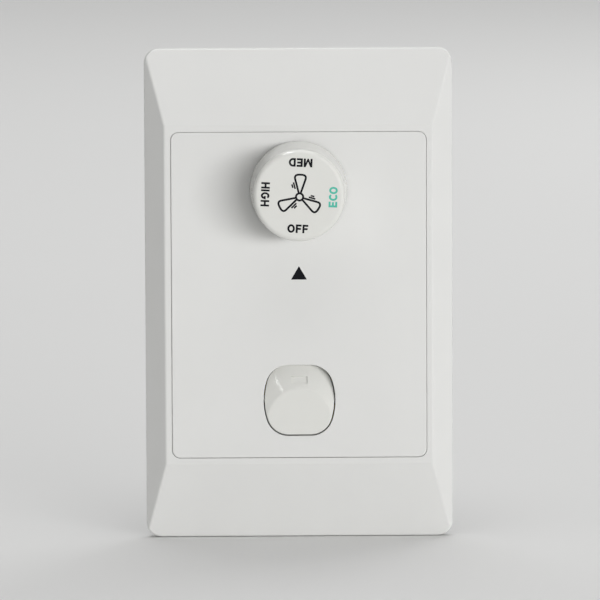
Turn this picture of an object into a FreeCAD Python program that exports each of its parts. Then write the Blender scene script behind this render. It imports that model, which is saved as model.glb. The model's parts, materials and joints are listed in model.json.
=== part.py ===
import FreeCAD, Part
import math
import os

import Sketcher

# Fan speed control switch with a light switch on one wall plate.
# Frame: origin on the wall in the middle of the plate, front towards -Y, +X to the right, +Z up.
# A level is a height in front of the wall, so a level of 5 lies at Y = -5.

V = FreeCAD.Vector

SIZES = [
    # surround and panel
    ("panel_width", 60.1, "flat panel, across"),
    ("panel_corner", 1.9, "panel corner radius"),
    ("panel_skin", 1.6, "panel front thickness"),
    ("panel_wall", 2.0, "side wall of the tray behind the panel"),
    ("panel_gap", 0.08, "line between panel and surround"),
    ("panel_edge", 0.25, "rounding of the panel's front edge"),
    ("control_spacing", 50.0, "knob axis to rocker pivot"),
    ("control_margin", 13.6, "control axis to the panel's near edge"),
    ("front_height", 7.5, "panel front above the wall"),
    ("rim_height", 3.0, "upright rim of the surround"),
    ("crest_border", 1.5, "flat strip of the surround around the panel"),
    ("crest_round", 0.9, "rounding where the strip turns into the slopes"),
    ("rim_round", 0.5, "rounding where the slopes meet the rim"),
    ("side_bevel", 4.7, "slope at left and right, in plan"),
    ("end_bevel", 17.9, "slope at top and bottom, in plan"),
    ("plate_corner", 3.5, "outer corner radius in plan"),
    ("cover_wall", 1.8, "wall of the surround"),
    ("cover_lip", 0.6, "step of the cavity behind the flat strip"),
    ("hook_bite", 0.7, "snap hook under the flange"),
    ("hook_length", 9.0, "snap hook along the side"),
    ("hook_offset", 24.0, "snap hook from the middle of the side"),
    ("hook_thickness", 0.8, "snap hook, front to back"),
    ("rest_offset", 2.6, "rib on the flange beyond a mounting hole"),
    ("pry_width", 7.0, "lever slot in the lower rim, across"),
    ("pry_height", 1.0, "lever slot in the lower rim, front to back"),
    # mounting plate
    ("flange_rear", 1.2, "flange's rear face above the wall"),
    ("flange_thickness", 1.8, "flange"),
    ("flange_side", 1.75, "flange beyond the panel at the sides"),
    ("flange_end", 8.0, "flange beyond the panel at the ends"),
    ("mount_offset", 3.4, "mounting hole beyond the panel's end"),
    ("mount_hole", 4.2, "mounting hole diameter"),
    ("mount_boss", 10.0, "boss round a mounting hole"),
    ("head_recess", 6.6, "recess for a mounting screw's head"),
    ("mount_seat", 1.6, "material under that head"),
    ("tray_gap", 0.6, "tray wall to what sits in the tray"),
    # knob and selector
    ("knob_base", 23.0, "knob diameter at the panel"),
    ("knob_top", 21.4, "knob diameter at the face"),
    ("knob_length", 14.2, "knob, front to back"),
    ("knob_gap", 0.4, "knob above the panel"),
    ("knob_edge", 1.2, "rounding of the knob's face edge"),
    ("knob_wall", 1.6, "knob wall"),
    ("knob_boss", 9.0, "boss inside the knob"),
    ("boss_gap", 0.6, "that boss in front of the bush"),
    ("knob_rib", 1.0, "rib inside the knob"),
    ("spindle_dia", 6.0, "spindle"),
    ("spindle_flat", 1.5, "spindle's flat from its axis"),
    ("tip_chamfer", 0.5, "chamfer of the spindle's front end"),
    ("spindle_collar", 8.4, "collar behind the bush"),
    ("collar_depth", 0.8, "collar, front to back"),
    ("running_gap", 0.05, "radial gap of turning and sliding fits"),
    ("bush_dia", 9.0, "threaded bush"),
    ("bush_rise", 3.5, "bush in front of the panel"),
    ("thread_pitch", 0.75, "thread of the bush"),
    ("thread_depth", 0.3, "thread of the bush"),
    ("disc_thickness", 1.4, "disc behind the panel"),
    ("washer_dia", 13.0, "washer"),
    ("washer_thickness", 0.6, "washer"),
    ("nut_flats", 12.0, "nut across flats"),
    ("nut_thickness", 2.0, "nut"),
    ("selector_depth", 11.0, "selector cup, front to back"),
    ("selector_wall", 1.4, "selector cup wall"),
    ("selector_floor", 1.8, "selector cup floor"),
    ("rotor_room", 1.2, "rotor rim to the cup's wall"),
    ("rotor_thickness", 4.0, "rotor"),
    ("rim_land", 0.5, "contact stud heads inside the rotor's rim"),
    ("rotor_rise", 2.1, "rotor above the cup's floor"),
    ("detent_nose", 1.0, "radius of the detent's nose"),
    ("leaf_thickness", 0.3, "detent leaf"),
    ("leaf_width", 3.0, "detent leaf, front to back"),
    ("leaf_angle", 38.0, "detent leaf, half its arc"),
    ("wiper_thickness", 0.4, "wiper"),
    ("stud_head", 2.2, "contact stud head"),
    ("stud_shank", 1.4, "contact stud shank"),
    ("stud_rise", 1.1, "contact stud head above the floor"),
    # speed controller
    ("case_wall", 1.6, "rear case wall"),
    ("case_room", 0.4, "selector and board to the rear case's wall"),
    ("case_to_mech", 4.8, "rear case to the light switch mechanism"),
    ("ear_width", 6.0, "strip beside the rear case for its ears"),
    ("ear_length", 7.0, "ear"),
    ("ear_thickness", 2.4, "ear"),
    ("ear_pitch", 26.0, "ears on one side, apart"),
    ("post_length", 3.6, "screw post behind the panel"),
    ("post_dia", 5.0, "screw post"),
    ("screw_dia", 2.2, "case screw"),
    ("screw_head", 4.2, "case screw's head"),
    ("head_height", 1.7, "case screw's head, front to back"),
    ("screw_bite", 2.7, "case screw in its post"),
    ("driver_slot", 0.7, "slot in a screw's head"),
    ("vent_width", 22.0, "cooling slot, across"),
    ("vent_height", 1.6, "cooling slot, up"),
    ("vent_pitch", 4.0, "cooling slots, apart"),
    ("board_thickness", 1.6, "circuit board"),
    ("ledge_bite", 0.9, "ledge behind the board's edge"),
    ("cap_depth", 19.0, "large capacitor, front to back"),
    ("cap_step", 2.6, "small capacitor is less deep by"),
    ("cap_edge", 1.6, "capacitor to the board's edge"),
    ("cap_clear", 2.2, "capacitor to the contact circle"),
    ("lead_dia", 0.8, "component lead"),
    ("solder_rise", 0.8, "lead beyond the board"),
    ("lead_reach", 1.2, "resistor lead from its bend to the barrel"),
    ("resistor_dia", 2.4, "bleed resistor"),
    ("resistor_length", 6.4, "bleed resistor"),
    ("way_pitch", 8.0, "terminal block, one way"),
    ("block_height", 8.8, "terminal block, up"),
    ("head_room", 3.1, "terminal block behind its clamps"),
    ("clamp_side", 5.8, "clamp, square side"),
    ("clamp_length", 6.0, "clamp along the wire"),
    ("wire_hole", 3.4, "wire hole"),
    ("clamp_screw", 3.0, "terminal screw"),
    ("clamp_head", 4.2, "terminal screw's head"),
    # rocker and light switch mechanism
    ("opening_width", 16.9, "rocker opening, across"),
    ("opening_height", 16.8, "rocker opening, up"),
    ("opening_corner", 5.4, "corner radius of the opening"),
    ("opening_bow", 0.45, "bow of the opening's sides"),
    ("opening_land", 0.3, "straight front part of the opening"),
    ("opening_relief", 0.45, "opening wider behind, for the rocker's swing"),
    ("opening_edge", 0.2, "rounding of the opening's front edge"),
    ("rocker_gap", 0.28, "rocker to its opening"),
    ("rocker_proud", 0.4, "rocker pad above the panel"),
    ("rocker_skirt", 1.5, "rocker below its pivot"),
    ("rocker_skin", 1.8, "rocker top"),
    ("rocker_edge", 0.35, "rounding of the rocker's edges"),
    ("pivot_depth", 2.8, "pivot below the panel's front"),
    ("rocker_travel", 14.0, "rocker's whole swing in degrees"),
    ("arch_drop", 4.7, "centre of the pad's round top below the pivot"),
    ("arch_radius", 7.5, "radius of the pad's round top"),
    ("arch_round", 1.4, "rounding of that edge"),
    ("flank_slope", 26.0, "slope above the pad in degrees"),
    ("window_rise", 4.8, "finger mark above the pivot"),
    ("window_width", 3.8, "finger mark, across"),
    ("window_height", 1.9, "finger mark, up"),
    ("window_depth", 0.4, "finger mark"),
    ("trunnion_dia", 2.0, "rocker pivot pin"),
    ("trunnion_reach", 2.2, "rocker pivot pin beyond the rocker's side"),
    ("tube_dia", 4.8, "plunger tube"),
    ("tube_reach", 5.5, "plunger tube behind the pivot"),
    ("plunger_dia", 3.0, "plunger"),
    ("plunger_tip", 1.0, "radius of the plunger's tip"),
    ("plunger_reach", 9.0, "plunger tip behind the pivot"),
    ("plunger_back", 2.0, "plunger's inner end behind the pivot"),
    ("spring_wire", 0.36, "plunger spring wire"),
    ("spring_turns", 4.0, "plunger spring turns"),
    ("mech_cheek", 3.55, "mechanism beyond the opening at the sides"),
    ("frame_depth", 4.9, "mechanism frame, front to back"),
    ("frame_gap", 0.4, "frame wider than the opening"),
    ("collar_height", 2.0, "collar of the mechanism body"),
    ("collar_step", 1.0, "collar beyond the mechanism body"),
    ("mech_wall", 1.5, "mechanism wall"),
    ("mech_floor", 2.5, "mechanism floor"),
    ("arm_gap", 0.25, "latch arm to the mechanism"),
    ("arm_thickness", 1.6, "latch arm"),
    ("arm_width", 9.0, "latch arm, up"),
    ("arm_hook", 1.5, "latch arm's hook, front to back"),
    ("bar_thickness", 0.8, "see-saw contact"),
    ("bar_width", 3.2, "see-saw contact"),
    ("bar_reach", 5.0, "see-saw pivot to its contact buttons"),
    ("bar_tilt", 8.0, "see-saw tilt at rest in degrees"),
    ("bar_clear", 0.1, "gap at the plunger and at a closed contact"),
    ("fulcrum_dia", 0.8, "round edge the see-saw rocks on"),
    ("button_dia", 2.2, "contact button"),
    ("button_rise", 0.6, "contact button"),
    ("strip_thickness", 0.8, "contact strip"),
    ("strip_width", 2.8, "contact strip"),
    ("tunnel_side", 5.4, "tunnel terminal, square side"),
    ("tunnel_depth", 6.5, "tunnel terminal, front to back"),
    ("tunnel_gap", 0.3, "tunnel terminal to the wall"),
]

doc = FreeCAD.newDocument("fan_speed_switch")
sheet = doc.addObject("Spreadsheet::Sheet", "Sizes")


class Size:
    """A value kept as the spreadsheet expression that drives it and the number it has now."""

    def __init__(self, text, number):
        self.text = text
        self.number = number

    def __add__(self, other):
        other = as_size(other)
        return Size(f"({self.text} + {other.text})", self.number + other.number)

    def __sub__(self, other):
        other = as_size(other)
        return Size(f"({self.text} - {other.text})", self.number - other.number)

    def __mul__(self, other):
        other = as_size(other)
        return Size(f"({self.text} * {other.text})", self.number * other.number)

    def __truediv__(self, other):
        other = as_size(other)
        return Size(f"({self.text} / {other.text})", self.number / other.number)

    def __radd__(self, other):
        return as_size(other) + self

    def __rsub__(self, other):
        return as_size(other) - self

    def __rmul__(self, other):
        return as_size(other) * self

    def __neg__(self):
        return 0 - self


def as_size(value):
    """Return a plain number as a Size and a Size as it is."""
    if isinstance(value, Size):
        return value
    return Size(str(value), float(value))


def sine(angle):
    return Size(f"sin({angle.text})", math.sin(math.radians(angle.number)))


def cosine(angle):
    return Size(f"cos({angle.text})", math.cos(math.radians(angle.number)))


def tangent(angle):
    return Size(f"tan({angle.text})", math.tan(math.radians(angle.number)))


class SizeSet:
    """Every named size of the sheet as an attribute."""


d = SizeSet()
for row, (alias, number, meaning) in enumerate(SIZES, start=1):
    sheet.set(f"A{row}", meaning)
    sheet.set(f"B{row}", str(number))
    sheet.setAlias(f"B{row}", alias)
    setattr(d, alias, Size(f"Sizes.{alias}", number))
doc.recompute()

ZERO = as_size(0)
OVERCUT = as_size(1)


def bind(target, prop, value):
    """Drive a property from the sheet."""
    target.setExpression(prop, as_size(value).text)


def new_body(name, x=None, level=None, z=None, tilt_down=None):
    """Add a named body; its place is the point it is drawn around."""
    body = doc.addObject("PartDesign::Body", name)
    body.Label = name
    if tilt_down is not None:
        body.Placement = FreeCAD.Placement(V(), FreeCAD.Rotation(V(-1, 0, 0), tilt_down.number))
        bind(body, "Placement.Rotation.Angle", tilt_down)
    if x is not None:
        bind(body, "Placement.Base.x", x)
    if level is not None:
        bind(body, "Placement.Base.y", -level)
    if z is not None:
        bind(body, "Placement.Base.z", z)
    return body


def sketch_on(body, name, plane="XZ_Plane", level=ZERO, x=ZERO, y=ZERO, tilt_up=None):
    """Add a sketch to a body, on one of the body's own planes moved by (x, y) and a level."""
    sketch = body.newObject("Sketcher::SketchObject", f"{body.Name}_{name}")
    support = next(item for item in body.Origin.OriginFeatures if item.Role == plane)
    sketch.AttachmentSupport = (support, [""])
    sketch.MapMode = "FlatFace"
    if tilt_up is not None:
        turn = FreeCAD.Rotation(V(-1, 0, 0), tilt_up.number)
        sketch.AttachmentOffset = FreeCAD.Placement(V(), turn)
        bind(sketch, "AttachmentOffset.Rotation.Angle", tilt_up)
    bind(sketch, "AttachmentOffset.Base.x", x)
    bind(sketch, "AttachmentOffset.Base.y", y)
    bind(sketch, "AttachmentOffset.Base.z", level)
    return sketch


def hold(sketch, kind, parts, value):
    """Add a driven dimension to a sketch."""
    value = as_size(value)
    index = sketch.addConstraint(Sketcher.Constraint(kind, *parts, value.number))
    name = f"{kind.lower()}_{index}"
    sketch.renameConstraint(index, name)
    bind(sketch, f"Constraints.{name}", value)


def pin(sketch, geometry, point, x, y):
    """Hold a point of a sketch at driven coordinates."""
    for kind, axis, value in (("DistanceX", -2, as_size(x)), ("DistanceY", -1, as_size(y))):
        if abs(value.number) < 1e-9:
            sketch.addConstraint(Sketcher.Constraint("PointOnObject", geometry, point, axis))
        elif value.number > 0:
            hold(sketch, kind, (-1, 1, geometry, point), value)
        else:
            hold(sketch, kind, (geometry, point, -1, 1), -value)


def polygon(sketch, points):
    """Draw a closed outline of straight lines through driven points."""
    points = [(as_size(x), as_size(y)) for x, y in points]
    ends = points[1:] + points[:1]
    lines = []
    for (x0, y0), (x1, y1) in zip(points, ends):
        line = Part.LineSegment(V(x0.number, y0.number, 0), V(x1.number, y1.number, 0))
        lines.append(sketch.addGeometry(line, False))
    for line, following in zip(lines, lines[1:] + lines[:1]):
        sketch.addConstraint(Sketcher.Constraint("Coincident", line, 2, following, 1))
    for line, (x, y) in zip(lines, points):
        pin(sketch, line, 1, x, y)


def rectangle(sketch, width, height, x=ZERO, y=ZERO):
    """Draw a rectangle round a driven middle."""
    width, height, x, y = (as_size(value) for value in (width, height, x, y))
    left, right = x - width / 2, x + width / 2
    low, high = y - height / 2, y + height / 2
    polygon(sketch, [(left, low), (right, low), (right, high), (left, high)])


def circle(sketch, diameter, x=ZERO, y=ZERO):
    """Draw a circle round a driven middle."""
    diameter, x, y = (as_size(value) for value in (diameter, x, y))
    middle = V(x.number, y.number, 0)
    index = sketch.addGeometry(Part.Circle(middle, V(0, 0, 1), diameter.number / 2), False)
    pin(sketch, index, 3, x, y)
    hold(sketch, "Diameter", (index,), diameter)


def chain(sketch, pieces):
    """Draw lines and arcs that run on into each other without a corner; return their numbers."""
    indices = [sketch.addGeometry(piece, False) for piece in pieces]
    for index, following in zip(indices, indices[1:] + indices[:1]):
        sketch.addConstraint(Sketcher.Constraint("Tangent", index, 2, following, 1))
    return indices


def arc(x, y, radius, start, end):
    """Return an arc between two angles in degrees."""
    round_line = Part.Circle(V(x, y, 0), V(0, 0, 1), radius)
    return Part.ArcOfCircle(round_line, math.radians(start), math.radians(end))


def rounded(sketch, width, height, corner):
    """Draw a rectangle with round corners about the sketch's origin."""
    width, height, corner = (as_size(value) for value in (width, height, corner))
    across, up = width / 2 - corner, height / 2 - corner
    cx, cy, cr = across.number, up.number, corner.number
    pieces = [
        arc(cx, cy, cr, 0, 90),
        Part.LineSegment(V(cx, cy + cr, 0), V(-cx, cy + cr, 0)),
        arc(-cx, cy, cr, 90, 180),
        Part.LineSegment(V(-cx - cr, cy, 0), V(-cx - cr, -cy, 0)),
        arc(-cx, -cy, cr, 180, 270),
        Part.LineSegment(V(-cx, -cy - cr, 0), V(cx, -cy - cr, 0)),
        arc(cx, -cy, cr, 270, 360),
        Part.LineSegment(V(cx + cr, -cy, 0), V(cx + cr, cy, 0)),
    ]
    right_top, top, left_top, left, left_low, low, right_low, right = chain(sketch, pieces)
    for line in (top, low):
        sketch.addConstraint(Sketcher.Constraint("Horizontal", line))
    for line in (left, right):
        sketch.addConstraint(Sketcher.Constraint("Vertical", line))
    for other in (left_top, left_low, right_low):
        sketch.addConstraint(Sketcher.Constraint("Equal", right_top, other))
    hold(sketch, "Radius", (right_top,), corner)
    pin(sketch, right_top, 3, across, up)
    pin(sketch, left_low, 3, -across, -up)


def cushion(sketch, inset):
    """Draw the rocker's outline, with bowed sides, smaller all round by an inset."""
    width = d.opening_width / 2 - inset
    height = d.opening_height / 2 - inset
    corner = d.opening_corner - inset
    flat = width - corner - d.opening_bow
    rise = height - corner
    reach = corner + d.opening_bow
    bow_radius = (reach * reach + rise * rise - corner * corner) / (2 * d.opening_bow)
    a, b, s, r, side = (size.number for size in (width, height, flat, corner, bow_radius))
    sweep = math.degrees(math.atan2(b - r, s - (a - side)))
    pieces = [
        arc(a - side, 0, side, -sweep, sweep),
        arc(s, b - r, r, sweep, 90),
        Part.LineSegment(V(s, b, 0), V(-s, b, 0)),
        arc(-s, b - r, r, 90, 180 - sweep),
        arc(side - a, 0, side, 180 - sweep, 180 + sweep),
        arc(-s, r - b, r, 180 + sweep, 270),
        Part.LineSegment(V(-s, -b, 0), V(s, -b, 0)),
        arc(s, r - b, r, 270, 360 - sweep),
    ]
    right, right_top, top, left_top, left, left_low, low, right_low = chain(sketch, pieces)
    for line in (top, low):
        sketch.addConstraint(Sketcher.Constraint("Horizontal", line))
    for bow in (left, right):
        sketch.addConstraint(Sketcher.Constraint("PointOnObject", bow, 3, -1))
    for other in (left_top, left_low, right_low):
        sketch.addConstraint(Sketcher.Constraint("Equal", right_top, other))
    sketch.addConstraint(Sketcher.Constraint("Equal", left, right))
    hold(sketch, "Radius", (right_top,), corner)
    hold(sketch, "Radius", (right,), bow_radius)
    pin(sketch, right_top, 3, flat, rise)
    pin(sketch, left_low, 3, -flat, -rise)


def soft_slope(sketch, edge, level, rounding, slope, reach):
    """Draw the space above a slope that falls away from a rounded edge, as (radius, -level)."""
    start = edge - rounding * tangent(slope / 2)
    end, low = edge + reach, level - reach * tangent(slope)
    high, middle = level + OVERCUT, level - rounding
    bend = sketch.addGeometry(arc(start.number, -middle.number, rounding.number,
                                  -90, slope.number - 90), False)
    bend_end = sketch.Geometry[bend].EndPoint
    points = [(end, -low), (end, -high), (start, -high), (start, -level)]
    places = [bend_end] + [V(x.number, y.number, 0) for x, y in points]
    lines = [sketch.addGeometry(Part.LineSegment(first, last), False)
             for first, last in zip(places, places[1:])]
    sketch.addConstraint(Sketcher.Constraint("Tangent", bend, 2, lines[0], 1))
    for line, following in zip(lines, lines[1:] + [bend]):
        sketch.addConstraint(Sketcher.Constraint("Coincident", line, 2, following, 1))
    for line, (x, y) in zip(lines, points):
        pin(sketch, line, 2, x, y)
    pin(sketch, bend, 3, start, -middle)


def flatted_circle(sketch, diameter, flat):
    """Draw a circle with one flat on its upper side, at a driven distance from the middle."""
    radius, flat = as_size(diameter) / 2, as_size(flat)
    r, f = radius.number, flat.number
    start = math.degrees(math.asin(f / r))
    half = math.sqrt(r * r - f * f)
    bow = sketch.addGeometry(arc(0, 0, r, 180 - start, 360 + start), False)
    line = sketch.addGeometry(Part.LineSegment(V(half, f, 0), V(-half, f, 0)), False)
    sketch.addConstraint(Sketcher.Constraint("Coincident", bow, 3, -1, 1))
    sketch.addConstraint(Sketcher.Constraint("Coincident", bow, 2, line, 1))
    sketch.addConstraint(Sketcher.Constraint("Coincident", line, 2, bow, 1))
    sketch.addConstraint(Sketcher.Constraint("Horizontal", line))
    hold(sketch, "Radius", (bow,), radius)
    hold(sketch, "DistanceY", (-1, 1, line, 1), flat)


def add_feature(body, kind, name, sketch):
    feature = body.newObject(f"PartDesign::{kind}", f"{body.Name}_{name}")
    feature.Profile = sketch
    return feature


def pad(body, name, sketch, length, reverse=False):
    """Raise a sketch along its normal, or against it."""
    feature = add_feature(body, "Pad", name, sketch)
    bind(feature, "Length", length)
    feature.Reversed = reverse
    doc.recompute()
    return feature


def cut(body, name, sketch, length, forward=False):
    """Sink a sketch against its normal, or along it."""
    feature = add_feature(body, "Pocket", name, sketch)
    bind(feature, "Length", length)
    feature.Reversed = forward
    doc.recompute()
    return feature


def turn(body, name, points, kind="Revolution"):
    """Turn an outline of (radius, level) points about the body's front-to-back axis."""
    sketch = sketch_on(body, f"{name}_outline", "XY_Plane")
    polygon(sketch, [(radius, -as_size(level)) for radius, level in points])
    return revolve(body, name, sketch, kind)


def revolve(body, name, sketch, kind):
    """Turn a sketch about its own upright axis."""
    feature = add_feature(body, kind, name, sketch)
    feature.ReferenceAxis = (sketch, ["V_Axis"])
    feature.Angle = 360
    doc.recompute()
    return feature


def loft(body, name, first, second, kind="AdditiveLoft"):
    feature = add_feature(body, kind, name, first)
    feature.Sections = [second]
    feature.Ruled = True
    doc.recompute()
    return feature


def soften(body, name, radius, test, kind="Fillet"):
    """Round or chamfer every edge whose end points and middle all pass a test."""
    base = body.Tip
    names = []
    for index, edge in enumerate(base.Shape.Edges, start=1):
        first, last = edge.FirstParameter, edge.LastParameter
        places = [edge.valueAt(first), edge.valueAt((first + last) / 2), edge.valueAt(last)]
        if all(test(place) for place in places):
            names.append(f"Edge{index}")
    feature = body.newObject(f"PartDesign::{kind}", f"{body.Name}_{name}")
    feature.Base = (base, names)
    bind(feature, "Radius" if kind == "Fillet" else "Size", radius)
    doc.recompute()
    return feature


def near(value, size, slack=0.01):
    return abs(value - as_size(size).number) < slack


# Places and levels that several pieces share

close_fit = 2 * d.running_gap
loose_fit = 2 * close_fit
front = d.front_height
panel_rear = front - d.panel_skin
axis_z = d.control_spacing / 2
panel_height = 2 * (axis_z + d.control_margin)
crest_width = d.panel_width + 2 * d.crest_border
crest_height = panel_height + 2 * d.crest_border
plate_width = crest_width + 2 * d.side_bevel
plate_height = crest_height + 2 * d.end_bevel
flange_front = d.flange_rear + d.flange_thickness
flange_width = d.panel_width + 2 * d.flange_side
flange_height = panel_height + 2 * d.flange_end
mount_z = panel_height / 2 + d.mount_offset
tray_width = d.panel_width - 2 * d.panel_wall
tray_height = panel_height - 2 * d.panel_wall

# Levels of the selector
disc_rear = panel_rear - d.disc_thickness
cup_rear = disc_rear - d.selector_depth
cup_floor = cup_rear + d.selector_floor
rotor_rear = cup_floor + d.rotor_rise
rotor_front = rotor_rear + d.rotor_thickness
washer_front = front + d.washer_thickness
bush_end = front + d.bush_rise
knob_rear = front + d.knob_gap
knob_front = knob_rear + d.knob_length
knob_inside = knob_front - d.knob_wall
selector_radius = d.control_margin - d.panel_wall - d.tray_gap - d.case_wall - d.case_room
cup_radius = selector_radius - d.selector_wall
rotor_radius = cup_radius - d.rotor_room
contact_radius = rotor_radius - d.stud_head / 2 - d.rim_land
bush_bore = d.spindle_dia + close_fit

# Places of the mechanism
mech_half_height = d.control_margin - d.panel_wall - d.tray_gap
mech_half_width = d.opening_width / 2 + d.mech_cheek
frame_rear = panel_rear - d.frame_depth
collar_rear = frame_rear - d.collar_height
pivot_level = front - d.pivot_depth
bar_pivot = pivot_level - d.plunger_reach - d.bar_clear - d.bar_thickness
contact_level = (bar_pivot - d.bar_reach * sine(d.bar_tilt) - d.button_rise * cosine(d.bar_tilt)
                 - d.button_dia / 2 * sine(d.bar_tilt) - d.bar_clear)
contact_z = d.bar_reach * cosine(d.bar_tilt) - d.button_rise * sine(d.bar_tilt)
strip_front = contact_level - d.button_rise
strip_rear = strip_front - d.strip_thickness
tunnel_rear = strip_front - d.tunnel_depth
mech_rear = tunnel_rear - d.mech_floor

# Places of the rear case and the board; the fan wires pass behind the mechanism
case_half = tray_width / 2 - d.ear_width
case_top = tray_height / 2 - d.tray_gap
case_bottom = -axis_z + mech_half_height + d.case_to_mech
case_middle = (case_top + case_bottom) / 2
case_height = case_top - case_bottom
ear_x = case_half + d.ear_width / 2
board_front = cup_rear
board_rear = board_front - d.board_thickness
board_half = case_half - d.case_wall - d.case_room
board_top = case_top - d.case_wall - d.case_room
board_bottom = case_bottom + d.case_wall + d.case_room
fan_wire_level = mech_rear - d.wire_hole / 2 - d.case_room
clamp_rear = fan_wire_level - d.clamp_side / 2
block_rear = clamp_rear - d.head_room
block_depth = board_rear - block_rear
step_rear = block_rear - d.case_room - d.case_wall
case_rear = board_rear - d.cap_depth - d.case_room - d.case_wall
block_top = board_bottom + d.block_height
block_middle = board_bottom + d.block_height / 2


# Surround

cover = new_body("cover_plate")
outline = sketch_on(cover, "rim_outline")
rounded(outline, plate_width, plate_height, d.plate_corner)
pad(cover, "block", outline, front)
end_slopes = sketch_on(cover, "end_slopes", "YZ_Plane", level=plate_width)
side_slopes = sketch_on(cover, "side_slopes", "XY_Plane", level=plate_height)
above = -(front + OVERCUT)
for side in (-1, 1):
    polygon(end_slopes, [(-d.rim_height, side * plate_height / 2), (-front, side * crest_height / 2),
                         (above, side * crest_height / 2), (above, side * (plate_height / 2 + 1)),
                         (-d.rim_height, side * (plate_height / 2 + 1))])
    polygon(side_slopes, [(side * plate_width / 2, -d.rim_height), (side * crest_width / 2, -front),
                          (side * crest_width / 2, above), (side * (plate_width / 2 + 1), above),
                          (side * (plate_width / 2 + 1), -d.rim_height)])
cut(cover, "end_slope", end_slopes, 2 * plate_width)
cut(cover, "side_slope", side_slopes, 2 * plate_height)


def on_crest(point):
    """Tell whether a point lies on the flat strip's outer edge or on a mitre line."""
    across = (abs(point.x) - crest_width.number / 2) / d.side_bevel.number
    up = (abs(point.z) - crest_height.number / 2) / d.end_bevel.number
    on_mitre = near(across, up, 0.001) and across > -0.001
    return near(point.y, -front) or (on_mitre and point.y < -d.rim_height.number)


soften(cover, "crest_rounding", d.crest_round, on_crest)
soften(cover, "rim_rounding", d.rim_round,
       lambda p: near(p.y, -d.rim_height) and max(
           abs(p.x) - plate_width.number / 2, abs(p.z) - plate_height.number / 2) > -0.01)

cavity_width = plate_width - 2 * d.cover_wall
cavity_height = plate_height - 2 * d.cover_wall
cavity_corner = d.plate_corner - d.cover_wall
cavity_foot = d.rim_height - d.cover_wall / 2
cavity_front = front - d.cover_wall
opening_wide = d.panel_width + 2 * d.panel_gap
opening_tall = panel_height + 2 * d.panel_gap
outline = sketch_on(cover, "cavity_outline")
rounded(outline, cavity_width, cavity_height, cavity_corner)
cut(cover, "cavity", outline, cavity_foot, forward=True)
cavity_base = sketch_on(cover, "cavity_base", level=cavity_foot)
rounded(cavity_base, cavity_width, cavity_height, cavity_corner)
cavity_top = sketch_on(cover, "cavity_top", level=cavity_front)
rounded(cavity_top, opening_wide + 2 * d.cover_lip, opening_tall + 2 * d.cover_lip, d.panel_corner)
loft(cover, "cavity_slopes", cavity_base, cavity_top, "SubtractiveLoft")
outline = sketch_on(cover, "opening_outline", level=front)
rounded(outline, opening_wide, opening_tall, d.panel_corner + d.panel_gap)
cut(cover, "opening", outline, d.cover_wall + OVERCUT)

# Snap hooks under the flange's long sides
hook_inner = flange_width / 2 - d.hook_bite
hook_outer = cavity_width / 2 + d.cover_wall / 2
hook_rear = d.flange_rear - d.running_gap - d.hook_thickness
hooks = sketch_on(cover, "hook_outlines", level=hook_rear)
for side in (-1, 1):
    for end in (-1, 1):
        rectangle(hooks, hook_outer - hook_inner, d.hook_length,
                  side * (hook_inner + hook_outer) / 2, end * d.hook_offset)
pad(cover, "hooks", hooks, d.hook_thickness)

# Ribs that rest on the flange's ends
rib_z = mount_z + d.rest_offset
rib_slope = (cavity_front - cavity_foot) / (cavity_height / 2 - opening_tall / 2 - d.cover_lip)
rib_front = cavity_foot + (cavity_height / 2 - rib_z) * rib_slope + d.cover_wall / 2
ribs = sketch_on(cover, "rest_outlines", level=flange_front)
for side in (-1, 1):
    for end in (-1, 1):
        rectangle(ribs, d.cover_wall, d.cover_wall, side * d.panel_width / 3, end * rib_z)
pad(cover, "rests", ribs, rib_front - flange_front)

# Lever slot in the lower rim
slot = sketch_on(cover, "pry_outline", y=-plate_height / 2)
rectangle(slot, d.pry_width, 4 * d.cover_wall)
cut(cover, "pry_slot", slot, d.pry_height, forward=True)


# Mounting plate with the panel

grid = new_body("grid_plate")
outline = sketch_on(grid, "flange_outline", level=d.flange_rear)
rounded(outline, flange_width, flange_height, d.plate_corner)
pad(grid, "flange", outline, d.flange_thickness)
outline = sketch_on(grid, "panel_outline", level=d.flange_rear)
rounded(outline, d.panel_width, panel_height, d.panel_corner)
pad(grid, "panel", outline, front - d.flange_rear)
soften(grid, "panel_rounding", d.panel_edge, lambda p: near(p.y, -front))
bosses = sketch_on(grid, "mount_bosses")
for end in (-1, 1):
    circle(bosses, d.mount_boss, ZERO, end * mount_z)
pad(grid, "mount_boss", bosses, flange_front)
outline = sketch_on(grid, "tray_outline", level=d.flange_rear)
rounded(outline, tray_width, tray_height, d.panel_corner)
cut(grid, "tray", outline, panel_rear - d.flange_rear, forward=True)
recesses = sketch_on(grid, "head_recesses", level=flange_front)
holes = sketch_on(grid, "mount_holes", level=flange_front)
for end in (-1, 1):
    circle(recesses, d.head_recess, ZERO, end * mount_z)
    circle(holes, d.mount_hole, ZERO, end * mount_z)
cut(grid, "head_recess", recesses, flange_front - d.mount_seat)
cut(grid, "mount_hole", holes, flange_front + OVERCUT)
hole = sketch_on(grid, "bush_hole_outline", level=front, y=axis_z)
circle(hole, d.bush_dia + loose_fit)
cut(grid, "bush_hole", hole, d.panel_skin + OVERCUT)
opening = sketch_on(grid, "rocker_opening_outline", level=front, y=-axis_z)
cushion(opening, ZERO)
cut(grid, "rocker_opening", opening, d.opening_land)
relief_front = sketch_on(grid, "relief_front", level=front - d.opening_land, y=-axis_z)
cushion(relief_front, ZERO)
relief_rear = sketch_on(grid, "relief_rear", level=panel_rear, y=-axis_z)
cushion(relief_rear, -d.opening_relief)
loft(grid, "rocker_relief", relief_front, relief_rear, "SubtractiveLoft")
soften(grid, "opening_rounding", d.opening_edge,
       lambda p: near(p.y, -front) and near(p.x, ZERO, d.opening_width.number)
       and near(p.z, -axis_z, d.opening_height.number))

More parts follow.
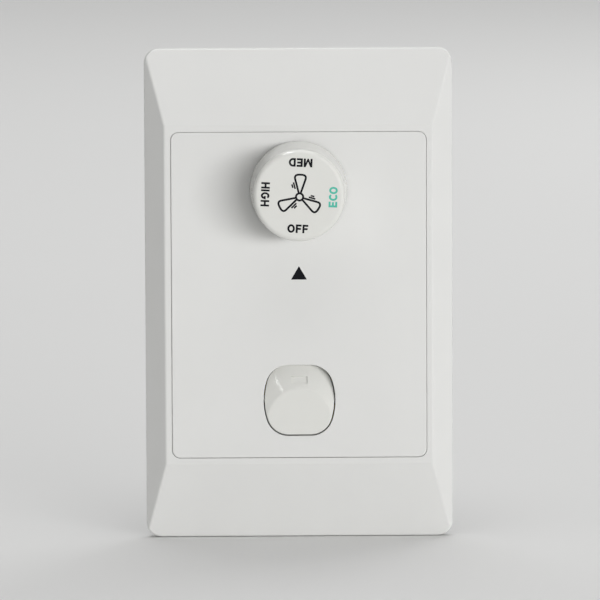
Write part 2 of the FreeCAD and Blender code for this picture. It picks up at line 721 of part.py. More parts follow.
# Slot for the selector's locating lug, under the knob
lug_width = d.disc_thickness
lug_length = 2 * d.disc_thickness
lug_z = (d.washer_dia / 2 + selector_radius) / 2
slot = sketch_on(grid, "lug_slot_outline", level=front, y=axis_z - lug_z)
rectangle(slot, lug_length + loose_fit, lug_width + loose_fit)
cut(grid, "lug_slot", slot, d.panel_skin + OVERCUT)

# Posts for the rear case's screws
post_end = panel_rear - d.post_length
post_places = [(side * ear_x, case_middle + end * d.ear_pitch / 2)
               for side in (-1, 1) for end in (-1, 1)]
posts = sketch_on(grid, "post_outlines", level=post_end)
pilots = sketch_on(grid, "pilot_outlines", level=post_end)
for post_x, post_z in post_places:
    circle(posts, d.post_dia, post_x, post_z)
    circle(pilots, d.screw_dia + close_fit, post_x, post_z)
pad(grid, "posts", posts, d.post_length)
cut(grid, "pilots", pilots, d.post_length, forward=True)

# Latch arms that hold the mechanism by its collar
arm_inner = mech_half_width + d.arm_gap
arm_middle = arm_inner + d.arm_thickness / 2
hook_front = collar_rear - d.running_gap
arm_end = hook_front - d.arm_hook
hook_tip = mech_half_width - d.collar_step + d.arm_gap
arms = sketch_on(grid, "arm_outlines", level=arm_end, y=-axis_z)
hooks = sketch_on(grid, "arm_hooks", level=arm_end, y=-axis_z)
for side in (-1, 1):
    rectangle(arms, d.arm_thickness, d.arm_width, side * arm_middle)
    rectangle(hooks, arm_middle - hook_tip, d.arm_width, side * (arm_middle + hook_tip) / 2)
pad(grid, "arms", arms, panel_rear - arm_end)
pad(grid, "arm_hook", hooks, d.arm_hook)

# Rib across the back between the two units
rib_gap = d.case_to_mech
rib = sketch_on(grid, "cross_rib", level=d.flange_rear, y=case_bottom - rib_gap / 2)
rectangle(rib, tray_width + d.panel_wall, d.panel_skin)
pad(grid, "rib", rib, panel_rear - d.flange_rear)


# Knob

knob = new_body("knob", z=axis_z)
base_radius = d.knob_base / 2
top_radius = d.knob_top / 2
boss_radius = d.knob_boss / 2
boss_rear = bush_end + d.boss_gap
turn(knob, "block", [(ZERO, knob_rear), (base_radius, knob_rear), (top_radius, knob_front),
                     (ZERO, knob_front)])
soften(knob, "face_rounding", d.knob_edge, lambda p: near(p.y, -knob_front))
turn(knob, "hollow", [(ZERO, knob_rear), (base_radius - d.knob_wall, knob_rear),
                      (top_radius - d.knob_wall, knob_inside), (boss_radius, knob_inside),
                      (boss_radius, boss_rear), (ZERO, boss_rear)], "Groove")
rib_inner = boss_radius - d.knob_rib
rib_outer = top_radius - d.knob_wall / 2
ribs = sketch_on(knob, "rib_outlines", level=boss_rear + d.knob_wall)
for across, up in ((1, 0), (-1, 0), (0, 1), (0, -1)):
    length = rib_outer - rib_inner
    middle = (rib_outer + rib_inner) / 2
    rectangle(ribs, length if across else d.knob_rib, length if up else d.knob_rib,
              across * middle, up * middle)
pad(knob, "ribs", ribs, knob_inside - boss_rear - d.knob_wall)
bore = sketch_on(knob, "bore_outline", level=boss_rear)
flatted_circle(bore, bush_bore, d.spindle_flat + d.running_gap)
cut(knob, "bore", bore, knob_inside - boss_rear, forward=True)


# Speed selector

spindle = new_body("selector_spindle", z=axis_z)
spindle_end = knob_inside - d.knob_gap
collar_front = disc_rear - d.running_gap
collar_back = collar_front - d.collar_depth
rod = sketch_on(spindle, "rod_outline", level=rotor_rear)
circle(rod, d.spindle_dia)
pad(spindle, "rod", rod, spindle_end - rotor_rear)
collar = sketch_on(spindle, "collar_outline", level=collar_back)
circle(collar, d.spindle_collar)
pad(spindle, "collar", collar, d.collar_depth)
flat_height = d.spindle_dia
for name, level, length in (("front_flat", boss_rear, spindle_end - boss_rear),
                            ("rear_flat", rotor_rear, collar_back - rotor_rear)):
    flat = sketch_on(spindle, f"{name}_outline", level=level)
    rectangle(flat, 2 * d.spindle_dia, flat_height, ZERO, d.spindle_flat + flat_height / 2)
    cut(spindle, name, flat, length, forward=True)
soften(spindle, "tip_chamfer", d.tip_chamfer, lambda p: near(p.y, -spindle_end), "Chamfer")

bush = new_body("selector_bush", z=axis_z)
bush_radius = d.bush_dia / 2
turn(bush, "disc_and_bush", [(bush_bore / 2, disc_rear), (selector_radius, disc_rear),
                             (selector_radius, panel_rear), (bush_radius, panel_rear),
                             (bush_radius, bush_end), (bush_bore / 2, bush_end)])
for name, pitches in (("outer_thread", 0.5), ("inner_thread", 1.5)):
    groove_level = bush_end - pitches * d.thread_pitch
    turn(bush, name, [
        (bush_radius - d.thread_depth, groove_level),
        (bush_radius + d.thread_depth, groove_level - d.thread_depth),
        (bush_radius + d.thread_depth, groove_level + d.thread_depth)], "Groove")
lug = sketch_on(bush, "lug_outline", level=panel_rear, y=-lug_z)
rectangle(lug, lug_length, lug_width)
pad(bush, "lug", lug, d.panel_skin - d.knob_gap)

washer = new_body("bush_washer", z=axis_z)
ring = sketch_on(washer, "ring_outline", level=front)
circle(ring, d.washer_dia)
circle(ring, d.bush_dia + close_fit)
pad(washer, "ring", ring, d.washer_thickness)

nut = new_body("bush_nut", z=axis_z)
hexagon = sketch_on(nut, "hexagon", level=washer_front)
corner_radius = d.nut_flats / 2 / cosine(as_size(30))
polygon(hexagon, [(corner_radius * round(math.cos(math.radians(60 * k)), 9),
                   corner_radius * round(math.sin(math.radians(60 * k)), 9)) for k in range(6)])
circle(hexagon, d.bush_dia + close_fit)
pad(nut, "prism", hexagon, d.nut_thickness)

cup = new_body("selector_case", z=axis_z)
outline = sketch_on(cup, "cup_outline", level=cup_rear)
circle(outline, 2 * selector_radius)
pad(cup, "cup", outline, d.selector_depth)
inside = sketch_on(cup, "inside_outline", level=cup_floor)
circle(inside, 2 * cup_radius)
cut(cup, "inside", inside, disc_rear - cup_floor, forward=True)
stud_places = [(-contact_radius, ZERO), (ZERO, contact_radius), (contact_radius, ZERO)]
common_place = (ZERO, ZERO)
stud_holes = sketch_on(cup, "stud_holes", level=cup_floor)
for stud_x, stud_z in stud_places + [common_place]:
    circle(stud_holes, d.stud_shank + close_fit, stud_x, stud_z)
cut(cup, "stud_hole", stud_holes, d.selector_floor + OVERCUT)
rotor_middle = (rotor_rear + rotor_front) / 2
leaf_rear = rotor_middle - d.leaf_width / 2
window = sketch_on(cup, "leaf_window", level=leaf_rear - d.leaf_thickness, x=-selector_radius)
rectangle(window, 2 * (d.selector_wall + d.leaf_thickness), 4 * d.detent_nose)
cut(cup, "leaf_window_cut", window, d.leaf_width + 2 * d.leaf_thickness, forward=True)

rotor = new_body("selector_rotor", z=axis_z)
outline = sketch_on(rotor, "rotor_outline", level=rotor_rear)
circle(outline, 2 * rotor_radius)
pad(rotor, "wheel", outline, d.rotor_thickness)
hub = sketch_on(rotor, "hub_outline", level=rotor_front)
circle(hub, d.spindle_collar)
pad(rotor, "hub", hub, collar_back - rotor_front)
nose_place = rotor_radius + d.detent_nose / 5
notches = sketch_on(rotor, "notches", level=rotor_rear)
for across, up in ((1, 0), (-1, 0), (0, 1), (0, -1)):
    circle(notches, 2 * d.detent_nose + 6 * d.running_gap, across * nose_place, up * nose_place)
cut(rotor, "notch", notches, d.rotor_thickness, forward=True)
bore = sketch_on(rotor, "bore_outline", level=rotor_rear)
flatted_circle(bore, bush_bore, d.spindle_flat + d.running_gap)
cut(rotor, "bore", bore, collar_back - rotor_rear, forward=True)

wiper = new_body("selector_wiper", z=axis_z)
stud_front = cup_floor + d.stud_rise
wiper_rear = rotor_rear - d.wiper_thickness
disc = sketch_on(wiper, "disc_outline", level=wiper_rear)
circle(disc, d.spindle_dia)
pad(wiper, "disc", disc, d.wiper_thickness)
arm = sketch_on(wiper, "arm_outline", level=wiper_rear)
rectangle(arm, d.stud_head, contact_radius + d.stud_head / 2,
          ZERO, -(contact_radius + d.stud_head / 2) / 2)
pad(wiper, "arm", arm, d.wiper_thickness)
dimple = sketch_on(wiper, "dimple_outline", level=stud_front + d.bar_clear, y=-contact_radius)
circle(dimple, d.stud_shank)
pad(wiper, "dimple", dimple, wiper_rear - stud_front - d.bar_clear)

studs = new_body("selector_contacts", z=axis_z)
stud_end = board_rear - d.solder_rise
heads = sketch_on(studs, "stud_heads", level=cup_floor)
shanks = sketch_on(studs, "stud_shanks", level=stud_end)
for stud_x, stud_z in stud_places:
    circle(heads, d.stud_head, stud_x, stud_z)
for stud_x, stud_z in stud_places + [common_place]:
    circle(shanks, d.stud_shank, stud_x, stud_z)
pad(studs, "heads", heads, d.stud_rise)
common_head = sketch_on(studs, "common_head", level=cup_floor)
circle(common_head, d.stud_head)
pad(studs, "common", common_head, wiper_rear - d.bar_clear - cup_floor)
pad(studs, "shanks", shanks, cup_floor - stud_end)

leaf = new_body("detent_spring", z=axis_z)
leaf_outer = cup_radius - d.leaf_thickness
leaf_inner = leaf_outer - d.leaf_thickness
strip = sketch_on(leaf, "strip_outline", level=leaf_rear)
half_arc = d.leaf_angle.number
bows = [strip.addGeometry(arc(0, 0, radius.number, 180 - half_arc, 180 + half_arc), False)
        for radius in (leaf_outer, leaf_inner)]
for bow, radius in zip(bows, (leaf_outer, leaf_inner)):
    strip.addConstraint(Sketcher.Constraint("Coincident", bow, 3, -1, 1))
    hold(strip, "Radius", (bow,), radius)
    hold(strip, "DistanceY", (-1, 1, bow, 1), radius * sine(d.leaf_angle))
    hold(strip, "DistanceY", (bow, 2, -1, 1), radius * sine(d.leaf_angle))
for end in (1, 2):
    first = strip.getPoint(bows[0], end)
    second = strip.getPoint(bows[1], end)
    edge = strip.addGeometry(Part.LineSegment(first, second), False)
    strip.addConstraint(Sketcher.Constraint("Coincident", edge, 1, bows[0], end))
    strip.addConstraint(Sketcher.Constraint("Coincident", edge, 2, bows[1], end))
pad(leaf, "strip", strip, d.leaf_width)
nose = sketch_on(leaf, "nose_outline", level=leaf_rear, x=-nose_place)
circle(nose, 2 * d.detent_nose)
pad(leaf, "nose", nose, d.leaf_width)


# Speed controller

board = new_body("circuit_board", z=(board_top + board_bottom) / 2)
board_middle = (board_top + board_bottom) / 2
outline = sketch_on(board, "board_outline", level=board_rear)
rounded(outline, 2 * board_half, board_top - board_bottom, d.board_thickness)
pad(board, "sheet", outline, d.board_thickness)
holes = sketch_on(board, "stud_holes", level=board_front, y=axis_z - board_middle)
for stud_x, stud_z in stud_places + [common_place]:
    circle(holes, d.stud_shank + loose_fit, stud_x, stud_z)
cut(board, "stud_hole", holes, d.board_thickness + OVERCUT)

cap_inner = contact_radius + d.stud_shank / 2 + d.cap_clear
cap_outer = board_half - d.cap_edge
cap_bottom = block_top + 2 * d.case_room + d.case_wall
cap_top = board_top - d.cap_edge
cap_z = (cap_top + cap_bottom) / 2
lead_z = (cap_top - cap_bottom) / 2 - d.cap_clear
lead_length = d.board_thickness + d.solder_rise
lead_hole = d.lead_dia + loose_fit
small_depth = d.cap_depth - d.cap_step
for name, side, inner, outer, depth in (
        ("capacitor_large", 1, cap_inner, cap_outer, d.cap_depth),
        ("capacitor_small", -1, cap_inner + d.cap_edge, cap_outer - d.cap_edge, small_depth)):
    cap_x = side * (inner + outer) / 2
    capacitor = new_body(name, x=cap_x, z=cap_z)
    outline = sketch_on(capacitor, "block_outline", level=board_rear - depth)
    rounded(outline, outer - inner, cap_top - cap_bottom, d.cap_edge / 2)
    pad(capacitor, "block", outline, depth)
    soften(capacitor, "edge_chamfer", d.cap_edge / 4,
           lambda p, level=depth: near(p.y, level - board_rear), "Chamfer")
    leads = sketch_on(capacitor, "leads", level=board_rear)
    holes = sketch_on(board, f"{name}_holes", level=board_front, x=cap_x, y=cap_z - board_middle)
    for end in (-1, 1):
        circle(leads, d.lead_dia, ZERO, end * lead_z)
        circle(holes, lead_hole, ZERO, end * lead_z)
    pad(capacitor, "leads", leads, lead_length)
    cut(board, f"{name}_hole", holes, d.board_thickness + OVERCUT)

# Resistors lie upright between the capacitors, each on two bent leads
resistors = new_body("bleed_resistors", z=cap_bottom + d.cap_edge)
resistor_x = (d.resistor_dia + d.case_room) / 2 + d.case_room
resistor_axis = board_rear - d.resistor_dia / 2 - d.running_gap
first_lead = d.lead_reach
second_lead = first_lead + d.resistor_length + 2 * d.lead_reach
barrels = sketch_on(resistors, "barrels", "XY_Plane", level=first_lead + d.lead_reach)
wires = sketch_on(resistors, "wires", "XY_Plane", level=first_lead)
legs = sketch_on(resistors, "legs", level=resistor_axis)
holes = sketch_on(board, "resistor_holes", level=board_front,
                  y=cap_bottom + d.cap_edge - board_middle)
for side in (-1, 1):
    circle(barrels, d.resistor_dia, side * resistor_x, -resistor_axis)
    circle(wires, d.lead_dia, side * resistor_x, -resistor_axis)
    for lead in (first_lead, second_lead):
        circle(legs, d.lead_dia, side * resistor_x, lead)
        circle(holes, lead_hole, side * resistor_x, lead)
pad(resistors, "barrel", barrels, d.resistor_length)
pad(resistors, "wire", wires, second_lead - first_lead)
pad(resistors, "leg", legs, board_front + d.solder_rise - resistor_axis)
cut(board, "resistor_hole", holes, d.board_thickness + OVERCUT)

# Terminal block with three ways, wires from below and screws from behind
block = new_body("terminal_block", z=block_middle)
ways = [way * d.way_pitch for way in (-1, 0, 1)]
clamp_low = -d.block_height / 2
outline = sketch_on(block, "block_outline", level=block_rear)
rectangle(outline, 3 * d.way_pitch, d.block_height)
pad(block, "body", outline, block_depth)
cavities = sketch_on(block, "cavities", "XY_Plane", level=clamp_low)
shafts = sketch_on(block, "shafts", level=block_rear)
pins = sketch_on(board, "pin_holes", level=board_front, y=block_middle - board_middle)
for way in ways:
    rectangle(cavities, d.clamp_side + close_fit, d.clamp_side + close_fit,
              way, -fan_wire_level)
    circle(shafts, d.clamp_head + loose_fit, way)
    circle(pins, lead_hole, way)
cut(block, "cavity", cavities, d.clamp_length, forward=True)
cut(block, "shaft", shafts, clamp_rear - block_rear, forward=True)
cut(board, "pin_hole", pins, d.board_thickness + OVERCUT)
pin_holes = sketch_on(block, "pin_shafts", level=board_rear)
for way in ways:
    circle(pin_holes, lead_hole, way)
cut(block, "pin_shaft", pin_holes, board_rear - clamp_rear - d.clamp_side)

clamps = new_body("terminal_clamps", z=block_middle)
boxes = sketch_on(clamps, "boxes", "XY_Plane", level=clamp_low)
wire_holes = sketch_on(clamps, "wire_holes", "XY_Plane", level=clamp_low)
threads = sketch_on(clamps, "threads", level=clamp_rear)
pins = sketch_on(clamps, "pins", level=clamp_rear + d.clamp_side)
for way in ways:
    rectangle(boxes, d.clamp_side, d.clamp_side, way, -fan_wire_level)
    circle(wire_holes, d.wire_hole, way, -fan_wire_level)
    circle(threads, d.clamp_screw + close_fit, way)
    circle(pins, d.lead_dia, way)
pad(clamps, "box", boxes, d.clamp_length)
cut(clamps, "wire_hole", wire_holes, d.clamp_length, forward=True)
cut(clamps, "thread", threads, d.clamp_side / 2, forward=True)
pad(clamps, "pin", pins, board_front + d.solder_rise - clamp_rear - d.clamp_side)


def screws(name, places, seat, head_rise, length, head, shank, z=ZERO):
    """Add slotted screws whose heads sit on a level and whose shanks run forward from it."""
    group = new_body(name, z=z)
    head_outlines = sketch_on(group, "heads", level=seat - head_rise)
    shank_outlines = sketch_on(group, "shanks", level=seat)
    slots = sketch_on(group, "slots", level=seat - head_rise)
    for place_x, place_z in places:
        circle(head_outlines, head, place_x, place_z)
        circle(shank_outlines, shank, place_x, place_z)
        rectangle(slots, 2 * head, d.driver_slot, place_x, place_z)
    pad(group, "head", head_outlines, head_rise)
    pad(group, "shank", shank_outlines, length)
    cut(group, "slot", slots, head_rise / 2, forward=True)
    return group


block_screw_head = (clamp_rear - block_rear) / 2
screws("terminal_screws", [(way, ZERO) for way in ways], clamp_rear, block_screw_head,
       (d.clamp_side - d.wire_hole) / 2 - d.running_gap, d.clamp_head, d.clamp_screw, block_middle)

case = new_body("rear_case", z=case_middle)
tall_bottom = block_top + d.case_room
tall_middle = (case_top + tall_bottom) / 2
inner_half = case_half - d.case_wall
outline = sketch_on(case, "low_outline", level=step_rear)
rounded(outline, 2 * case_half, case_height, d.case_wall)
pad(case, "low_box", outline, panel_rear - step_rear)
outline = sketch_on(case, "tall_outline", level=case_rear, y=tall_middle - case_middle)
rounded(outline, 2 * case_half, case_top - tall_bottom, d.case_wall)
pad(case, "tall_box", outline, panel_rear - case_rear)
soften(case, "edge_rounding", d.case_wall / 2, lambda p: near(p.y, -case_rear))
inside = sketch_on(case, "low_inside", level=step_rear + d.case_wall)
rounded(inside, 2 * inner_half, case_height - 2 * d.case_wall, d.case_wall / 2)
cut(case, "low_hollow", inside, panel_rear - step_rear - d.case_wall, forward=True)
inside = sketch_on(case, "tall_inside", level=case_rear + d.case_wall, y=tall_middle - case_middle)
rounded(inside, 2 * inner_half, case_top - tall_bottom - 2 * d.case_wall, d.case_wall / 2)
cut(case, "tall_hollow", inside, panel_rear - case_rear - d.case_wall, forward=True)

# Ledges behind the board
ledge_z = (case_height / 2 - d.case_wall) / 2
ledge_width = d.case_wall / 2 + d.case_room + d.ledge_bite
ledges = sketch_on(case, "ledges", level=step_rear + d.case_wall / 2)
for side in (-1, 1):
    for end in (-1, 1):
        rectangle(ledges, ledge_width, d.cap_edge,
                  side * (inner_half + d.case_wall / 2 - ledge_width / 2), end * ledge_z)
pad(case, "ledge", ledges, board_rear - step_rear - d.case_wall / 2)

# Ears on the posts
ears = sketch_on(case, "ears", level=post_end - d.ear_thickness)
ear_holes = sketch_on(case, "ear_holes", level=post_end)
ear_span = d.ear_width - d.tray_gap + d.case_wall / 2
for post_x, post_z in post_places:
    side = 1 if post_x.number > 0 else -1
    rectangle(ears, ear_span, d.ear_length,
              side * (case_half - d.case_wall / 2 + ear_span / 2), post_z - case_middle)
    circle(ear_holes, d.screw_dia + 2 * loose_fit, post_x, post_z - case_middle)
pad(case, "ear", ears, d.ear_thickness)
cut(case, "ear_hole", ear_holes, d.ear_thickness + OVERCUT)

# Ways in for wires and screwdriver
drivers = sketch_on(case, "driver_holes", level=step_rear, y=block_middle - case_middle)
entries = sketch_on(case, "wire_entries", "XY_Plane", level=-case_height / 2)
for way in ways:
    circle(drivers, d.clamp_head + d.case_room, way)
    circle(entries, d.wire_hole, way, -fan_wire_level)
cut(case, "driver_hole", drivers, d.case_wall + d.case_room, forward=True)
cut(case, "wire_entry", entries, d.case_wall + d.case_room, forward=True)

# Cooling slots through the deep part's back
vents = sketch_on(case, "vents", level=case_rear, y=tall_middle - case_middle)
for row in range(-2, 3):
    rectangle(vents, d.vent_width, d.vent_height, ZERO, row * d.vent_pitch)
cut(case, "vent", vents, d.case_wall + OVERCUT, forward=True)

screws("case_screws", post_places, post_end - d.ear_thickness, d.head_height,
       d.ear_thickness + d.screw_bite, d.screw_head, d.screw_dia)


# Rocker, drawn about its pivot

rocker = new_body("rocker", level=pivot_level, z=-axis_z)
half_travel = d.rocker_travel / 2
pad_level = front + d.rocker_proud - pivot_level
rocker_half = d.opening_width / 2 - d.rocker_gap
outline = sketch_on(rocker, "cap_outline", level=-d.rocker_skirt)
cushion(outline, d.rocker_gap)
pad(rocker, "cap", outline, d.rocker_skirt + pad_level)
soften(rocker, "rim_rounding", d.rocker_edge, lambda p: near(p.y, -pad_level))
flank = sketch_on(rocker, "flank_outline", "XY_Plane", level=-d.arch_drop)
soft_slope(flank, d.arch_radius, pad_level, d.arch_round, d.flank_slope, d.opening_height)
revolve(rocker, "flank", flank, "Groove")
hollow_width = 2 * (d.arch_radius - d.rocker_skin)
hollow_height = d.opening_height / 2
hollow = sketch_on(rocker, "hollow_outline", level=-d.rocker_skirt, y=-d.arch_drop / 2)
rounded(hollow, hollow_width, hollow_height, d.rocker_skin)
cut(rocker, "hollow", hollow, d.rocker_skirt + pad_level - d.rocker_skin, forward=True)
window_place = d.arch_drop + d.window_rise - d.arch_radius
window_level = pad_level - window_place * tangent(d.flank_slope)
window = sketch_on(rocker, "window_outline", level=window_level, y=d.window_rise,
                   tilt_up=d.flank_slope)
rectangle(window, d.window_width, d.window_height)
cut(rocker, "window", window, d.window_depth)
pin_start = rocker_half - d.rocker_skin
pin_length = d.rocker_skin + d.trunnion_reach
for name, side in (("right_pin", 1), ("left_pin", -1)):
    pivot_pin = sketch_on(rocker, f"{name}_outline", "YZ_Plane", level=side * pin_start)
    circle(pivot_pin, d.trunnion_dia)
    pad(rocker, name, pivot_pin, pin_length, reverse=side < 0)
tube_front = pad_level - d.rocker_skin
tube = sketch_on(rocker, "tube_outline", tilt_up=half_travel,
                 level=-d.tube_reach * cosine(half_travel), y=-d.tube_reach * sine(half_travel))
circle(tube, d.tube_dia)
pad(rocker, "tube", tube, d.tube_reach + tube_front + d.rocker_skin / 4)
bore = sketch_on(rocker, "tube_bore", tilt_up=half_travel,
                 level=-d.tube_reach * cosine(half_travel), y=-d.tube_reach * sine(half_travel))
circle(bore, d.plunger_dia + close_fit)
cut(rocker, "tube_hole", bore, d.tube_reach + tube_front, forward=True)


# Plunger and its spring, drawn along the tube

plunger = new_body("plunger", level=pivot_level, z=-axis_z, tilt_down=half_travel)
plunger_radius = d.plunger_dia / 2
turn(plunger, "pin", [(ZERO, -d.plunger_back), (plunger_radius, -d.plunger_back),
                      (plunger_radius, -d.tube_reach - d.plunger_tip),
                      (d.plunger_tip, -d.tube_reach - d.plunger_dia / 2),
                      (d.plunger_tip, -d.plunger_reach), (ZERO, -d.plunger_reach)])
soften(plunger, "tip_rounding", d.plunger_tip - d.running_gap, lambda p: near(p.y, d.plunger_reach))

spring = new_body("plunger_spring", level=pivot_level, z=-axis_z, tilt_down=half_travel)
coil_radius = plunger_radius - d.spring_wire
coil_room = tube_front + d.plunger_back
wire_seat = d.spring_wire / 2 + d.running_gap / 2
section = sketch_on(spring, "wire_outline", "XY_Plane")
circle(section, d.spring_wire, coil_radius, -(tube_front - wire_seat))
coil = add_feature(spring, "AdditiveHelix", "coil", section)
coil.ReferenceAxis = (section, ["V_Axis"])
coil.Mode = "height-turns-growth"
bind(coil, "Height", coil_room - 2 * wire_seat)
bind(coil, "Turns", d.spring_turns)
doc.recompute()


# Light switch mechanism

frame = new_body("mech_frame", z=-axis_z)
outline = sketch_on(frame, "frame_outline", level=frame_rear)
rounded(outline, 2 * mech_half_width, 2 * mech_half_height, d.mech_wall)
pad(frame, "block", outline, d.frame_depth)
inside = sketch_on(frame, "frame_opening", level=frame_rear)
rounded(inside, d.opening_width + 2 * d.frame_gap, d.opening_height + 2 * d.frame_gap,
        d.opening_corner - 2 * d.frame_gap)
cut(frame, "opening", inside, d.frame_depth + OVERCUT, forward=True)
bearing_radius = d.trunnion_dia / 2 + d.running_gap
bearing = sketch_on(frame, "bearing_outline", "YZ_Plane", level=2 * mech_half_width, x=-pivot_level)
circle(bearing, 2 * bearing_radius)
cut(frame, "bearing", bearing, 4 * mech_half_width)
entry = sketch_on(frame, "bearing_entry", "YZ_Plane", level=2 * mech_half_width, x=-pivot_level)
entry_length = pivot_level - frame_rear + OVERCUT
rectangle(entry, entry_length, 2 * bearing_radius, entry_length / 2)
cut(frame, "bearing_slot", entry, 4 * mech_half_width)

mech = new_body("mech_body", z=-axis_z)
body_half_width = mech_half_width - d.collar_step
body_half_height = mech_half_height - d.collar_step
room_half_width = body_half_width - d.mech_wall
room_half_height = body_half_height - d.mech_wall
outline = sketch_on(mech, "collar_outline", level=collar_rear)
rounded(outline, 2 * mech_half_width, 2 * mech_half_height, d.mech_wall)
pad(mech, "collar", outline, d.collar_height)
outline = sketch_on(mech, "body_outline", level=mech_rear)
rounded(outline, 2 * body_half_width, 2 * body_half_height, d.mech_wall)
pad(mech, "box", outline, frame_rear - mech_rear)
inside = sketch_on(mech, "room_outline", level=tunnel_rear)
rounded(inside, 2 * room_half_width, 2 * room_half_height, d.mech_wall / 2)
cut(mech, "room", inside, frame_rear - tunnel_rear, forward=True)

# Tongues that close the bearing slots behind the pivot pins
tongue_front = pivot_level - bearing_radius
tongue_inner = d.opening_width / 2 + d.frame_gap
tongues = sketch_on(mech, "tongues", level=collar_rear)
for side in (-1, 1):
    rectangle(tongues, mech_half_width - tongue_inner, 2 * (bearing_radius - d.running_gap),
              side * (mech_half_width + tongue_inner) / 2)
pad(mech, "tongue", tongues, tongue_front - collar_rear)

# Places of the three tunnel terminals
tunnel_x = room_half_width - d.tunnel_gap - d.tunnel_side / 2
tunnel_z = room_half_height - d.tunnel_gap - d.tunnel_side / 2
wire_level = tunnel_rear + d.tunnel_depth / 2
tunnel_places = [(-tunnel_x, ZERO), (tunnel_x, tunnel_z), (tunnel_x, -tunnel_z)]
drivers = sketch_on(mech, "driver_holes", level=mech_rear)
for tunnel_at, tunnel_up in tunnel_places:
    circle(drivers, d.clamp_head + loose_fit, tunnel_at, tunnel_up)
cut(mech, "driver_hole", drivers, d.mech_floor + OVERCUT, forward=True)
entry_depth = d.mech_wall + d.tunnel_gap / 2
entries = sketch_on(mech, "right_entries", "YZ_Plane", level=body_half_width)
for end in (-1, 1):
    circle(entries, d.wire_hole, -wire_level, end * tunnel_z)
cut(mech, "right_wire_ways", entries, entry_depth)
entries = sketch_on(mech, "left_entry", "YZ_Plane", level=-body_half_width)
circle(entries, d.wire_hole, -wire_level)
cut(mech, "left_wire_way", entries, entry_depth, forward=True)


def tunnel_terminal(name, x, z):
    """Add a brass block with a wire tunnel across it and a screw hole from behind."""
    terminal = new_body(name, z=-axis_z)
    outline = sketch_on(terminal, "block_outline", level=tunnel_rear, x=x, y=z)
    rectangle(outline, d.tunnel_side, d.tunnel_side)
    pad(terminal, "block", outline, d.tunnel_depth)
    wire = sketch_on(terminal, "wire_outline", "YZ_Plane", level=x - d.tunnel_side)
    circle(wire, d.wire_hole, -wire_level, z)
    cut(terminal, "wire_hole", wire, 2 * d.tunnel_side, forward=True)
    thread = sketch_on(terminal, "thread_outline", level=tunnel_rear, x=x, y=z)
    circle(thread, d.clamp_screw + close_fit)
    cut(terminal, "thread", thread, d.tunnel_depth / 2, forward=True)
    return terminal


# The strips reach from the blocks to the contacts in the middle
for name, end in (("upper_terminal", 1), ("lower_terminal", -1)):
    terminal = tunnel_terminal(name, tunnel_x, end * tunnel_z)
    strip_end = -d.strip_width / 2
    strip_start = tunnel_x - d.tunnel_side / 2 + d.strip_thickness
    strip = sketch_on(terminal, "strip_outline", level=strip_rear)
    rectangle(strip, strip_start - strip_end, d.strip_width,
              (strip_start + strip_end) / 2, end * contact_z)
    pad(terminal, "strip", strip, d.strip_thickness)
    button = sketch_on(terminal, "button_outline", level=strip_front, y=end * contact_z)
    circle(button, d.button_dia)
    pad(terminal, "button", button, d.button_rise)

common = tunnel_terminal("common_terminal", -tunnel_x, ZERO)
strip_start = -tunnel_x + d.tunnel_side / 2 - d.strip_thickness
strip_end = d.bar_width / 2
strip = sketch_on(common, "strip_outline", level=strip_rear)
rectangle(strip, strip_end - strip_start, d.strip_width, (strip_end + strip_start) / 2)
pad(common, "strip", strip, d.strip_thickness)
knife = sketch_on(common, "knife_outline", "YZ_Plane", level=-d.bar_width / 2)
knife_half = d.strip_width / 2
polygon(knife, [(-strip_front, -knife_half), (-bar_pivot, ZERO), (-strip_front, knife_half)])
pad(common, "knife", knife, d.bar_width)
fulcrum = sketch_on(common, "fulcrum_outline", "YZ_Plane", level=-d.bar_width / 2, x=-bar_pivot)
circle(fulcrum, d.fulcrum_dia)
pad(common, "fulcrum", fulcrum, d.bar_width)

screws("mech_screws", tunnel_places, tunnel_rear, d.mech_floor - d.bar_thickness,
       (d.tunnel_depth - d.wire_hole) / 2 - d.running_gap, d.clamp_head, d.clamp_screw, -axis_z)

# See-saw contact, drawn level about its pivot and tilted as at rest
bar = new_body("contact_bar", level=bar_pivot, z=-axis_z, tilt_down=-d.bar_tilt)
strip = sketch_on(bar, "strip_outline")
rectangle(strip, d.bar_width, 2 * d.bar_reach + d.button_dia + d.bar_thickness)
pad(bar, "strip", strip, d.bar_thickness)
buttons = sketch_on(bar, "buttons")
for end in (-1, 1):
    circle(buttons, d.button_dia, ZERO, end * d.bar_reach)
pad(bar, "button", buttons, d.button_rise, reverse=True)
channel = sketch_on(bar, "channel_outline", "YZ_Plane", level=-d.bar_width)
circle(channel, d.fulcrum_dia + close_fit)
cut(bar, "channel", channel, 2 * d.bar_width, forward=True)


# Check every feature and write every piece

doc.recompute()
SUBTRACTIVE = ("PartDesign::Pocket", "PartDesign::Groove", "PartDesign::SubtractiveLoft")
for item in doc.Objects:
    if any(state in ("Invalid", "Error") for state in item.State):
        raise RuntimeError(f"{item.Name} has state {item.State}")
    if item.TypeId in SUBTRACTIVE and item.BaseFeature.Shape.Volume - item.Shape.Volume < 1e-4:
        raise RuntimeError(f"{item.Name} removes nothing")

os.makedirs("parts", exist_ok=True)
for body in doc.findObjects("PartDesign::Body"):
    shape = body.Shape
    if shape.isNull() or not shape.isValid():
        raise RuntimeError(f"{body.Label} has no valid shape")
    shape.exportStep(f"parts/{body.Label}.step")
    box = shape.BoundBox
    print(f"{body.Label}: {len(shape.Solids)} solid, volume {shape.Volume:.1f},"
          f" {box.XLength:.2f} x {box.YLength:.2f} x {box.ZLength:.2f}")
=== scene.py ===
import json
import logging
import math
from dataclasses import dataclass
from enum import Enum

import bmesh
import bpy
from mathutils import Matrix, Vector


